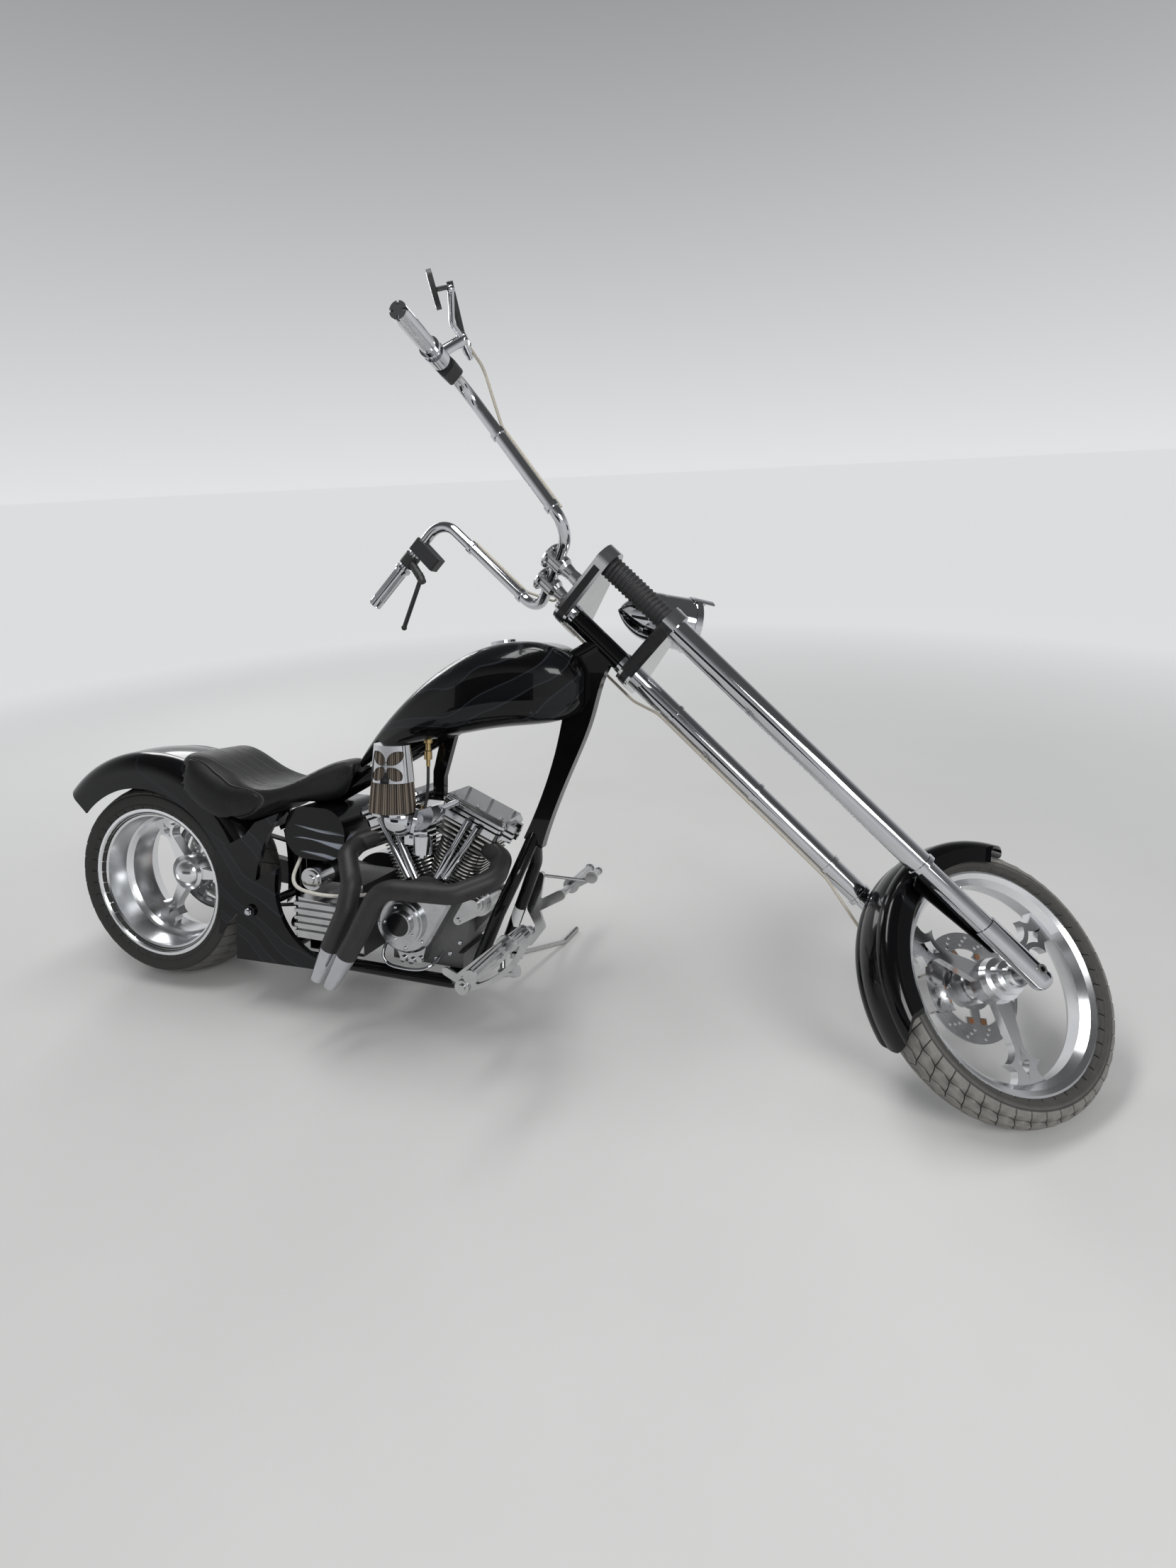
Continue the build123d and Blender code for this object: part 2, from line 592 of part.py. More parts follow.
def front_fender():
    # With a tapering stay on each side, outside the disc, from the slider up to the skirt
    start, end = 73, 212
    body = fender(FRONT_FENDER_RADIUS, FRONT_FENDER_WIDTH, FRONT_FENDER_RADIUS - 72, 40, start, end)
    body = body - Rot(Y=-start) * beside_tip(120) - Rot(Y=-end) * Rot(X=180) * beside_tip(70)
    skirt = FRONT_FENDER_WIDTH / 2 - 1
    inner, outer = FRONT_DISC_Y + DISC_THICKNESS / 2 + 5, FRONT_DISC_Y + DISC_THICKNESS / 2 + 10
    along = Plane(origin=(0, 0, 0), x_dir=AXIS_FORWARD, z_dir=AXIS_UP).location
    for side in (-1, 1):
        near, far = sorted((side * inner, side * outer))
        stay = across(hull((0, 92, 13), (0, 142, 15), (-22, 322, 14), (16, 332, 14)), near, far)
        middle = (near + far) / 2
        for height, start, end in ((STAY_FEET[0], middle, side * LEG_Y), (STAY_FEET[1], middle, side * LEG_Y),
                                   (318, side * skirt, middle), (332, side * skirt, middle)):
            stay = stay + rod((0, start, height), (0, end, height), STAY_FOOT_RADIUS)
        body = body + along * (stay - rod((0, side * LEG_Y, -100), (0, side * LEG_Y, 500), SLIDER_DIAMETER / 2))
    return body


# Tank, seat and oil tank

def tank_section(behind, low, high, half):
    place = HEAD_MIDDLE - Vector(behind, 0, (high + low) / -2)
    return Plane(origin=place, x_dir=(0, 1, 0), z_dir=(1, 0, 0)) * RectangleRounded(
        2 * half, high - low, min(half, (high - low) / 2) * 0.72)


# Columns: distance behind the middle of the head tube, underside and top from it, half-width
TANK_SECTIONS = (
    (729, -400, -374, 22),
    (635, -346, -274, 74),
    (524, -306, -170, 118),
    (375, -270, -62, 146),
    (210, -237, -10, 152),
    (95, -218, -24, 128),
    (31, -168, -90, 74),
)


def tank_body(extra=0.0):
    return loft([tank_section(behind, low - extra, high + extra, half + extra)
                 for behind, low, high, half in TANK_SECTIONS])


def backbone_groove():
    # A square groove, open below, that clears the backbone and what hangs from it
    direction = (BACKBONE_REAR - BACKBONE_FRONT).normalized()
    down = Vector(-direction.Z, 0, direction.X) * 200
    half = BACKBONE_DIAMETER / 2 + SEAT_GAP
    front = BACKBONE_FRONT - down * (half / 200) - direction * 60
    rear = BACKBONE_REAR - down * (half / 200) + direction * 60
    corners = [front, rear, rear + down, front + down, front]
    return across(make_face(Polyline(*[(point.X, point.Z) for point in corners])), -half, half)


def fuel_tank():
    return tank_body() - backbone_groove()


def tank_cap():
    cap = Pos(1165, 0, 1127) * Rot(Y=-10) * Cylinder(36, 34)
    return cap - tank_body()


def seat_section(x, low, high, half):
    corner = min(half, (high - low) / 2) * 0.8
    return Plane(origin=(x, 0, (low + high) / 2), x_dir=(0, 1, 0), z_dir=(1, 0, 0)) * RectangleRounded(
        2 * half, high - low, corner)


# Columns: x, underside, top, half-width
SEAT_SECTIONS = (
    (110, 640, 722, 120),
    (180, 610, 768, 158),
    (270, 560, 738, 166),
    (400, 590, 682, 158),
    (560, 650, 722, 118),
    (700, 738, 766, 52),
)


def seat():
    body = loft([seat_section(*row) for row in SEAT_SECTIONS])
    half = REAR_FENDER_WIDTH / 2 + SEAT_GAP
    fender_body = Pos(0, 0, REAR_TYRE_RADIUS) * ring(REAR_FENDER_RADIUS + SEAT_GAP, 100, -half, half)
    return body - fender_body - backbone_groove() - tank_body(SEAT_GAP) - oil_drum(SEAT_GAP)


def oil_drum(extra=0.0):
    body = Box(206 + 2 * extra, 236 + 2 * extra, 160 + 2 * extra)
    return Pos(612, 0, 560) * fillet(body.edges().filter_by(Axis.Y), 70)


def oil_tank():
    body = oil_drum() - backbone_envelope(BACKBONE_DIAMETER / 2)
    return body - seat_tube_path(TUBE_DIAMETER / 2)


# Engine: a 45 degree V-twin

DRUM_X, DRUM_Z = 1142.0, 415.0      # middle of the round housing in front of the engine
ELBOW_X = 922.0
FILTER_FOOT, FILTER_HEAD = 65.0, 47.0
FILTER_HEIGHT = 180.0
FILTER_PLEATS = 44
FILTER_CAP_LOW = 84.0
CROSS_Z = 805.0
TIP_LENGTH = 112.0
FRONT_PIPE_END = (820, -272, 268)
FRONT_PIPE_RUN = (-28, 0, -50)
REAR_PIPE_END = (743, -236, 266)
REAR_PIPE_RUN = (-25, 0, -54)


def along_cylinder(lean_angle):
    return Pos(ENGINE_X, 0, ENGINE_Z) * Rot(Y=lean_angle)


def crankcase():
    foot = ENGINE_Z - CRANKCASE_RADIUS
    nose = hull((ENGINE_X, ENGINE_Z, CRANKCASE_RADIUS - 10), (DRUM_X, DRUM_Z, 44))
    with BuildSketch() as outline:
        with Locations((ENGINE_X, ENGINE_Z)):
            Circle(CRANKCASE_RADIUS)
        with Locations((ENGINE_X, foot + 20)):
            Rectangle(230, 46)
    body = across(outline.sketch, -CRANKCASE_HALF_WIDTH, CRANKCASE_HALF_WIDTH) + across(nose, -30, 70)
    for angle in (-CYLINDER_ANGLE, CYLINDER_ANGLE):
        deck = along_cylinder(angle) * Pos(0, 0, CYLINDER_BASE - 20) * Box(130, 130, 40)
        body = body + deck
    keep = Pos(ENGINE_X, 0, ENGINE_Z) * Box(600, 400, 2 * (ENGINE_Z - RAIL_Z - 19))
    for angle in (-CYLINDER_ANGLE, CYLINDER_ANGLE):
        body = body - along_cylinder(angle) * Pos(0, 0, CYLINDER_BASE + 50) * Box(300, 300, 100)
    return body & keep


def cylinder(angle):
    height = CYLINDER_TOP - CYLINDER_BASE
    barrel = Pos(0, 0, CYLINDER_BASE + height / 2) * Cylinder(52, height)
    pitch = height / FIN_COUNT
    for index in range(FIN_COUNT):
        level = CYLINDER_BASE + pitch * (index + 0.5)
        barrel = barrel + Pos(0, 0, level) * extrude(RectangleRounded(FIN_DIAMETER, FIN_DIAMETER - 6, 42),
                                                     FIN_THICKNESS / 2, both=True)
    half = 1 if angle > 0 else -1
    side = Pos(ENGINE_X + half * (500 + SEAT_GAP), 0, ENGINE_Z) * Box(1000, 1000, 2000)
    return (along_cylinder(angle) * barrel & side) + (cylinder_head(angle) & side)


def cylinder_front():
    return cylinder(CYLINDER_ANGLE)


def cylinder_rear():
    return cylinder(-CYLINDER_ANGLE)


def cylinder_head(angle):
    height = HEAD_TOP - CYLINDER_TOP
    body = Pos(0, 0, CYLINDER_TOP + height / 2) * Box(120, 110, height)
    for index in range(4):
        level = CYLINDER_TOP + height / 4 * (index + 0.5)
        body = body + Pos(0, 0, level) * Box(168, 144, 5)
    return along_cylinder(angle) * body


# Columns: bottom and top above the head, length, width, corner
ROCKER_LAYERS = (
    (0.0, 20.0, 190.0, 142.0, 16.0),
    (20.0, 27.0, 176.0, 130.0, 12.0),
    (27.0, 36.0, 196.0, 146.0, 16.0),
    (36.0, 43.0, 182.0, 136.0, 12.0),
)


def rocker_box(angle):
    # A stack of plates with recesses between them, under a bevelled cover, with a clevis at one end
    low = ROCKER_LAYERS[-1][1]
    height = ROCKER_TOP - HEAD_TOP - low
    body = Pos(0, 0, HEAD_TOP + low) * extrude(RectangleRounded(210, 154, 18), height)
    top = body.faces().sort_by(Axis.Z)[-1]
    body = chamfer(top.edges(), height * 0.6)
    for start, end, length, width, corner in ROCKER_LAYERS:
        body = body + Pos(0, 0, HEAD_TOP + start) * extrude(RectangleRounded(length, width, corner), end - start)
    if angle > 0:
        block = Pos(112, -20, HEAD_TOP + 34) * (Box(30, 62, 50) - Pos(10, 0, 0) * Box(30, 34, 60))
        body = body + block
    return along_cylinder(angle) * body


def rocker_box_front():
    return rocker_box(CYLINDER_ANGLE)


def rocker_box_rear():
    return rocker_box(-CYLINDER_ANGLE)


def pushrod_tubes():
    tubes = []
    for foot_x, foot_z, top_x, top_z in ((1019, 476, 1113, 628), (926, 464, 828, 625)):
        lean_angle = degrees(atan2(top_x - foot_x, top_z - foot_z))
        for shift in (-17, 17):
            start = Vector(foot_x + shift * 0.7, -CRANKCASE_HALF_WIDTH - 14, foot_z - 8)
            end = Vector(top_x + shift * cos(radians(lean_angle)), -CRANKCASE_HALF_WIDTH - 2,
                         top_z + 6 - shift * sin(radians(lean_angle)))
            middle = start + (end - start) * 0.5
            tube = rod(start, middle, 11.5) + rod(middle, end, 9.5)
            tubes.append(tube - rocker_box_front() - rocker_box_rear())
    return Compound(tubes)


def cam_cover():
    # A nose-shaped cover with a raised round, a domed badge seat left bare, and a bolted foot
    front = -CRANKCASE_HALF_WIDTH
    depth = 62.0
    plate = across(hull((925, 336, 96), (1044, 420, 32), (868, 392, 36)), front - depth, front)
    plate = chamfer(plate.faces().sort_by(Axis.Y)[0].edges(), 9)
    foot = across(make_face(Polyline((880, 262), (985, 262), (972, 214), (905, 206), (880, 262))), front - 40, front)
    bosses = [rod((x, front - 48, z), (x, front, z), 9) for x, z in ((912, 216), (940, 214), (966, 222), (1046, 396))]
    face = stepped((925, front - depth, 338), (0, -1, 0), ((-2, 14, 68), (14, 20, 60), (20, 32, 38)))
    return plate.fuse(foot, face, *bosses)


def regulator():
    # A round stepped housing with a bolted ear, low in front of the engine
    front = -CRANKCASE_HALF_WIDTH - 14
    body = stepped((DRUM_X, front, DRUM_Z), (0, -1, 0), ((-96, 12, 42), (12, 22, 37), (22, 31, 31), (31, 40, 25),
                                                         (40, 50, 17)))
    ear = across(hull((DRUM_X, DRUM_Z, 34), (1086, 357, 13)), front - 28, front - 12)
    bolt = rod((1086, front - 34, 357), (1086, front - 10, 357), 8)
    return body.fuse(ear, bolt) - crankcase() - cylinder_front() - cam_cover()


def air_elbow():
    # Manifold between the heads, carburettor, and the bright half-round elbow under the filter
    manifold = rod((968, 30, 606), (968, -100, 606), 22)
    carburettor = Pos(968, -122, 612) * Box(72, 52, 84)
    bowl = rod((986, -140, 600), (986, -140, 548), 27) + rod((986, -140, 548), (986, -140, 536), 12)
    dome = Pos(948, -192, 655) * Sphere(50) & Pos(948, -192, 590) * Box(200, 200, 164)
    flange = rod((ELBOW_X, -190, 668), (ELBOW_X, -190, 675), 62)
    neck = rod((970, -140, 640), (952, -190, 645), 32)
    plane = Plane(origin=(982, -186, 652), z_dir=(0.88, 0.42, -0.22))
    rim = Solid.make_cylinder(50, 9, plane)
    plate = across(make_face(Polyline((985, 676), (1052, 700), (1072, 692), (1066, 676), (1018, 632), (985, 618),
                                      (985, 676))), -178, -168)
    bolt = rod((1056, -184, 688), (1056, -60, 688), 9)
    body = manifold.fuse(carburettor, bowl, dome, flange, neck, rim, plate, bolt)
    for angle in (-CYLINDER_ANGLE, CYLINDER_ANGLE):
        body = body - cylinder_head(angle) - rocker_box(angle) - cylinder(angle)
    return body - pushrod_tubes() - air_filter()


def air_filter():
    # A tapering element of straight pleats
    return loft([Pos(ELBOW_X, -190, 675) * star(FILTER_PLEATS, FILTER_FOOT, FILTER_FOOT - 5),
                 Pos(ELBOW_X, -190, 675 + FILTER_HEIGHT) * star(FILTER_PLEATS, FILTER_HEAD, FILTER_HEAD - 4)], ruled=True)


def filter_cap():
    # A thin bright cone over the upper half of the pleats, pierced round a flared cross on both sides
    def cone(extra, low, high):
        slope = (FILTER_HEAD - FILTER_FOOT) / FILTER_HEIGHT
        return Pos(ELBOW_X, -190, 675 + (low + high) / 2) * Cone(
            FILTER_FOOT + slope * low + extra, FILTER_FOOT + slope * high + extra, high - low)
    cap = cone(SEAT_GAP + 1.5, FILTER_CAP_LOW, FILTER_HEIGHT + 4) - cone(SEAT_GAP, 0, FILTER_HEIGHT + SEAT_GAP)
    with BuildSketch() as petal:
        with BuildLine():
            ThreePointArc((4, 4), (34, 12), (38, 38))
            ThreePointArc((38, 38), (12, 34), (4, 4))
        make_face()
    for angle in (0, 90, 180, 270):
        window = across(Rot(Z=angle) * petal.sketch, -300, 300)
        cap = cap - Pos(ELBOW_X + 4, -190, CROSS_Z) * Rot(Z=8) * window
    return cap


def exhaust(points, radii):
    return bent_tube(points, radii, PIPE_DIAMETER / 2)


def exhaust_front():
    points = [(1140, -42, 560), (1206, -88, 543), (1222, -172, 510), (1130, -238, 474), (925, -264, 474),
              (848, -270, 318), FRONT_PIPE_END]
    return exhaust(points, [40, 50, 80, 80, 150]) - cylinder_front()


def exhaust_rear():
    points = [(800, -42, 562), (740, -82, 538), (752, -158, 522), (802, -214, 460), (798, -236, 385),
              (768, -236, 320), REAR_PIPE_END]
    return exhaust(points, [40, 40, 50, 60, 150]) - cylinder_rear()


def exhaust_tips():
    # Turned-out ends: short hollow cones cut on a slant, pushed into the pipes
    tips = []
    for end, direction in ((FRONT_PIPE_END, FRONT_PIPE_RUN), (REAR_PIPE_END, REAR_PIPE_RUN)):
        place = Plane(origin=end, x_dir=(0, -1, 0), z_dir=direction).location
        outside = Pos(0, 0, TIP_LENGTH / 2) * Cone(PIPE_DIAMETER / 2, PIPE_DIAMETER / 2 - 9, TIP_LENGTH)
        inside = Pos(0, 0, TIP_LENGTH / 2 + 6) * Cone(PIPE_DIAMETER / 2 - 3, PIPE_DIAMETER / 2 - 12, TIP_LENGTH)
        cut = Pos(0, -PIPE_DIAMETER / 2, TIP_LENGTH) * Rot(X=-62) * Pos(0, -100, 0) * Box(200, 200, 400)
        tips.append(place * (outside - inside - cut))
    return Compound(tips) - exhaust_front() - exhaust_rear()


def transmission():
    # Case, side cover with stepped plates, starter above it, and the belt pulley on the left
    top = RAIL_Z + 19
    case = Pos(TRANSMISSION_X, 0, 300) * Box(190, 200, 224)
    cover = across(make_face(Polyline((592, 258), (738, 258), (752, 300), (726, 372), (600, 384), (592, 258))), -184, -90)
    plates = [across(make_face(Polyline((590, z - 5), (high - 4, z - 5), (high, z), (high - 5, z + 5), (590, z + 5),
                                        (590, z - 5))), -192, -100)
              for z, high in ((278, 752), (300, 758), (322, 750), (344, 742), (366, 734))]
    starter = stepped((634, -60, 436), (0, -1, 0), ((0, 100, 33), (100, 108, 34), (108, 114, 27), (114, 118, 14)))
    keep = Pos(TRANSMISSION_X, 0, top + 150) * Box(500, 600, 300)
    low, high = BELT_Y - BELT_WIDTH / 2, BELT_Y + BELT_WIDTH / 2
    pulley = rod((TRANSMISSION_X, low, ENGINE_Z), (TRANSMISSION_X, high, ENGINE_Z), FRONT_PULLEY_RADIUS)
    shaft = rod((TRANSMISSION_X, 90, ENGINE_Z), (TRANSMISSION_X, LEFT_PANEL_Y, ENGINE_Z), 24)
    return (case.fuse(cover, starter, *plates) & keep) + pulley + shaft


def primary_drive():
    with BuildSketch() as outline:
        with Locations((ENGINE_X, ENGINE_Z)):
            Circle(92)
        with Locations((TRANSMISSION_X, ENGINE_Z)):
            Circle(108)
        with BuildLine():
            Polyline((ENGINE_X, ENGINE_Z + 92), (TRANSMISSION_X, ENGINE_Z + 108), (TRANSMISSION_X, ENGINE_Z - 108),
                     (ENGINE_X, ENGINE_Z - 92), (ENGINE_X, ENGINE_Z + 92))
        make_face()
    body = across(outline.sketch, LEFT_PANEL_Y, 232)
    return body + rod((ENGINE_X, CRANKCASE_HALF_WIDTH, ENGINE_Z), (ENGINE_X, LEFT_PANEL_Y, ENGINE_Z), 80)


def drive_belt():
    low, high = BELT_Y - BELT_WIDTH / 2 + BELT_SIDE_GAP, BELT_Y + BELT_WIDTH / 2 - BELT_SIDE_GAP
    rear = (0.0, REAR_TYRE_RADIUS)
    front = (TRANSMISSION_X, ENGINE_Z)

    def loop(extra):
        with BuildSketch() as sketch:
            circles = [Pos(*rear) * Edge.make_circle(REAR_PULLEY_RADIUS + SEAT_GAP + extra),
                       Pos(*front) * Edge.make_circle(FRONT_PULLEY_RADIUS + extra)]
            make_hull(circles)
        return across(sketch.sketch, low, high)
    return loop(BELT_THICKNESS) - loop(0.0)


def right_control():
    # Forward peg, brake pedal on its slotted arm and the brake's master cylinder, on one bracket
    plate = across(hull((1067, 214, 12), (1104, 198, 13)), -158, -150)
    plate = plate + across(hull((1104, 198, 13), (PEG_X, PEG_Z, 13)), -158, -150)
    bosses = [rod((1100, -RAIL_Y, RAIL_Z + 8), (1100, -154, RAIL_Z + 26), 16),
              rod((1152, -116, 242), (1152, -154, 242), 13)]
    peg = ribbed_peg(PEG_X, PEG_Z, -158, -PEG_INNER, -PEG_OUTER, 16)
    hub = stepped((1185, -154, 246), (0, -1, 0), ((0, 108, 11), (108, 144, 20), (144, 150, 10)))
    arc = ThreePointArc((1190, 254), (1294, 314), (1350, 412))
    slot = ThreePointArc((1226, 268), (1294, 318), (1334, 380))
    arm = across(SlotArc(arc, 40), -290, -276) - across(SlotArc(slot, 17), -300, -260)
    toe = ribbed_peg(1353, 414, -280, -290, -372, 12)
    cylinder_arm = rod((1240, -154, 300), (1264, -206, 262), 9)
    master = stepped((1256, -202, 259), (50, -17, 21), ((0, 44, 13), (44, 60, 17)))
    return plate.fuse(peg, hub, arm, toe, cylinder_arm, master, *bosses) - rail(-1)


def left_control():
    # Forward peg and gear lever on an S-shaped plate
    low, high = 158, 170
    plates = [across(hull(first, second), low, high) for first, second in (
        ((1196, 208, 16), (1234, 262, 15)), ((1234, 262, 15), (1208, 318, 20)), ((1208, 318, 20), (1229, 428, 12)),
        ((1208, 318, 16), (PEG_X, PEG_Z, 16)))]
    boss = rod((1176, RAIL_Y - 4, 250), (1200, low + 2, 244), 16)
    peg = ribbed_peg(PEG_X, PEG_Z, low, PEG_INNER, PEG_OUTER, 16)
    lever_arm = across(hull((PEG_X, PEG_Z, 14), (1367, 410, 9)), 256, 266)
    toe = ribbed_peg(1367, 410, 258, 268, 345, 12)
    link = rod((1229, 172, 426), (1345, 258, 399), 5) + rod((1229, low, 428), (1229, 184, 428), 8)
    return plates[0].fuse(*plates[1:], boss, peg, lever_arm, toe, link) - rail(1)


def ribbed_peg(x, z, root, inner, outer, radius):
    # A round stalk, a flange, and a barrel with lengthwise ribs
    side = 1 if outer > inner else -1
    stalk = rod((x, root, z), (x, inner, z), radius * 0.75)
    flange = rod((x, inner - side * 10, z), (x, inner, z), radius * 1.6)
    barrel = across(Pos(x, z) * star(9, radius, radius * 0.8), min(inner, outer), max(inner, outer))
    end = rod((x, outer - side * 8, z), (x, outer, z), radius * 1.06)
    return stalk.fuse(flange, barrel, end)


# Fork, modelled in its own frame

def tree(z):
    circles = [Pos(TREE_OFFSET, LEG_Y) * Edge.make_circle(CLAMP_RADIUS),
               Pos(TREE_OFFSET, -LEG_Y) * Edge.make_circle(CLAMP_RADIUS), Edge.make_circle(40)]
    with BuildSketch() as outline:
        make_hull(circles)
    body = Pos(0, 0, z - TREE_THICKNESS / 2) * extrude(outline.sketch, TREE_THICKNESS)
    for side in (-1, 1):
        body = body - Pos(TREE_OFFSET, side * LEG_Y, z) * Cylinder(STANCHION_DIAMETER / 2, 2 * TREE_THICKNESS)
        body = body - Pos(-52, side * 130, z) * Cylinder(70, 2 * TREE_THICKNESS)
    return body


def lower_tree():
    stem = rod((0, 0, LOWER_TREE_Z), (0, 0, TOP_TREE_BOTTOM), STEM_DIAMETER / 2)
    return tree(LOWER_TREE_Z) + stem


def top_tree():
    nut = rod((0, 0, TOP_TREE_TOP), (0, 0, TOP_TREE_TOP + 14), 20)
    return tree(TOP_TREE_Z) + nut


def fork_leg(side):
    x, y = TREE_OFFSET, side * LEG_Y
    leg = rod((x, y, SLIDER_BOTTOM), (x, y, SLIDER_TOP), SLIDER_DIAMETER / 2)
    leg = fillet(leg.edges().group_by(Axis.Z)[0], 22)
    leg = leg + rod((x, y, SLIDER_TOP), (x, y, TOP_TREE_TOP + 6), STANCHION_DIAMETER / 2)
    return leg - rod((x, -300, 0), (x, 300, 0), FRONT_AXLE_RADIUS)


def fork_leg_right():
    return fork_leg(-1)


def fork_leg_left():
    return fork_leg(1)


def fork_covers():
    # Bright sleeves below the lower tree, with bands that hold the brake hose on the left
    covers = []
    for side in (-1, 1):
        x, y = TREE_OFFSET, side * LEG_Y
        cover = rod((x, y, COVER_BOTTOM), (x, y, LOWER_TREE_Z - TREE_THICKNESS / 2), COVER_DIAMETER / 2,
                    STANCHION_DIAMETER / 2)
        heights = [COVER_BOTTOM + 6] + (list(HOSE_BANDS) if side > 0 else [])
        for height in heights:
            cover = cover + rod((x, y, height - 6), (x, y, height + 6), COVER_DIAMETER / 2 + BAND_THICKNESS,
                                STANCHION_DIAMETER / 2)
        covers.append(cover)
    return Compound(covers)


def upper_covers():
    # Between the trees: a smooth sleeve on the left, a ribbed wrap over the wiring on the right
    radius = COVER_DIAMETER / 2 - 3
    left = rod((TREE_OFFSET, LEG_Y, LOWER_TREE_TOP), (TREE_OFFSET, LEG_Y, TOP_TREE_BOTTOM), radius,
               STANCHION_DIAMETER / 2)
    rise = TOP_TREE_BOTTOM - LOWER_TREE_TOP
    pitch = rise / WRAP_RIBS
    profile = [(STANCHION_DIAMETER / 2, 0), (radius, 0)]
    for index in range(WRAP_RIBS):
        profile += [(radius + 4, pitch * (index + 0.5)), (radius, pitch * (index + 1))]
    profile += [(STANCHION_DIAMETER / 2, rise), (STANCHION_DIAMETER / 2, 0)]
    wrap = revolve(Plane.XZ * make_face(Polyline(*profile)), Axis.Z)
    return Compound([left, Pos(TREE_OFFSET, -LEG_Y, LOWER_TREE_TOP) * wrap])


def front_axle():
    return rod((TREE_OFFSET, -LEG_Y - 32, 0), (TREE_OFFSET, LEG_Y + 32, 0), FRONT_AXLE_RADIUS, FRONT_AXLE_BORE)


BAR_BANDS = (0.17, 0.68)        # shares of the way up the upright run
GRIP_FLUTES = 8
HOSE_RADIUS = 4.0
BAND_THICKNESS = 3.5
WRAP_RIBS = 16
HOSE_BANDS = (1074.0, 760.0, 476.0)   # heights along the left leg
CALIPER_ANGLE = 136.0
STAY_FEET = (92.0, 142.0)       # heights on the left and right sliders
STAY_FOOT_RADIUS = 9.0
PEG_X, PEG_Z = 1296.0, 372.0
PEG_INNER, PEG_OUTER = 277.0, 484.0

BAR_POINTS = (
    (RISER_X, 0, TOP_TREE_TOP + RISER_HEIGHT),
    (RISER_X - 6, 172, TOP_TREE_TOP + RISER_HEIGHT - 2),
    (94, 236, TOP_TREE_TOP + RISER_HEIGHT + 446),
    (-12, 362, TOP_TREE_TOP + RISER_HEIGHT + 459),
    (-136, 503, TOP_TREE_TOP + RISER_HEIGHT + 461),
)


def bar_tube():
    half = bent_tube([BAR_POINTS[0], BAR_POINTS[1], BAR_POINTS[2], BAR_POINTS[4]], [70, 70], BAR_DIAMETER / 2)
    return half + mirror(half, about=Plane.XZ)


def bar_ring(share, half_length, thickness):
    # A band round the upright run of the left bar, by its share of the way up
    low, high = Vector(*BAR_POINTS[1]), Vector(*BAR_POINTS[2])
    run = (high - low).normalized()
    middle = low + (high - low) * share
    return rod(middle - run * half_length, middle + run * half_length, BAR_DIAMETER / 2 + thickness)


def handlebar():
    bands = [bar_ring(share, 7, 4) for share in BAR_BANDS]
    return bar_tube().fuse(*bands, *[mirror(band, about=Plane.XZ) for band in bands])


def grip_line():
    end = Vector(*BAR_POINTS[4])
    start = Vector(*BAR_POINTS[2])
    return end, (end - start).normalized()


def grips():
    # Fluted barrels with a flange inside and a notched end
    end, direction = grip_line()
    start = end - direction * GRIP_LENGTH
    grip = rod(start, end + direction * 8, GRIP_DIAMETER / 2) + rod(start, start + direction * 8, GRIP_DIAMETER / 2 + 5)
    place = Plane(origin=start, x_dir=(0, 0, 1), z_dir=direction).location
    cuts = [rod(start, end, BAR_DIAMETER / 2)]
    for index in range(GRIP_FLUTES):
        turn = place * Rot(Z=360.0 / GRIP_FLUTES * index)
        cuts.append(turn * Pos(GRIP_DIAMETER / 2 + 1.5, 0, GRIP_LENGTH / 2) * Cylinder(4, GRIP_LENGTH - 36))
        if index % 2:
            cuts.append(turn * Pos(GRIP_DIAMETER / 2, 0, GRIP_LENGTH + 8) * Box(18, 5, 14))
    grip = grip - cuts
    return Compound([grip, mirror(grip, about=Plane.XZ)])


def risers():
    # Turned posts with a wide foot, a clamp barrel round the bar and a mushroom-shaped cap
    profile = make_face(Polyline((0, 0), (27, 0), (26, 7), (19, 16), (17, 38), (20, 60), (27, 70), (27, 110),
                                 (38, 113), (39, 119), (33, 125), (14, 130), (0, 131), (0, 0)))
    post = revolve(Plane.XZ * profile, Axis.Z)
    pieces = [Pos(RISER_X, side * RISER_Y, TOP_TREE_TOP) * post for side in (-1, 1)]
    return Compound(pieces) - bar_tube()


def bar_point(distance):
    # A point on the left arm of the bar, from its outer end inward
    end, direction = grip_line()
    return end - direction * distance


def bar_clamp(near, far):
    # The outside of a split ring round the outer run of the left bar, between two distances from its end
    return rod(bar_point(far), bar_point(near), BAR_DIAMETER / 2 + 9)


def bar_hole():
    return rod(bar_point(GRIP_LENGTH + 1), bar_point(GRIP_LENGTH + 135), BAR_DIAMETER / 2)


def lever(side, pivot, tip, knuckle):
    # Ring, perch and blade, with a ball at the blade's end
    ring_start, ring_end = bar_point(GRIP_LENGTH + 52), bar_point(GRIP_LENGTH + 14)
    ring_middle = (ring_start + ring_end) * 0.5
    perch = rod(ring_middle, pivot, 13) + rod(pivot + Vector(-6, 0, -14), pivot + Vector(6, 0, 14), 12)
    blade = bent_tube([pivot, knuckle, tip], 40.0, 7.0) + Pos(tip) * Sphere(9)
    body = bar_clamp(GRIP_LENGTH + 14, GRIP_LENGTH + 52) + perch + blade - bar_hole()
    return body if side > 0 else mirror(body, about=Plane.XZ)


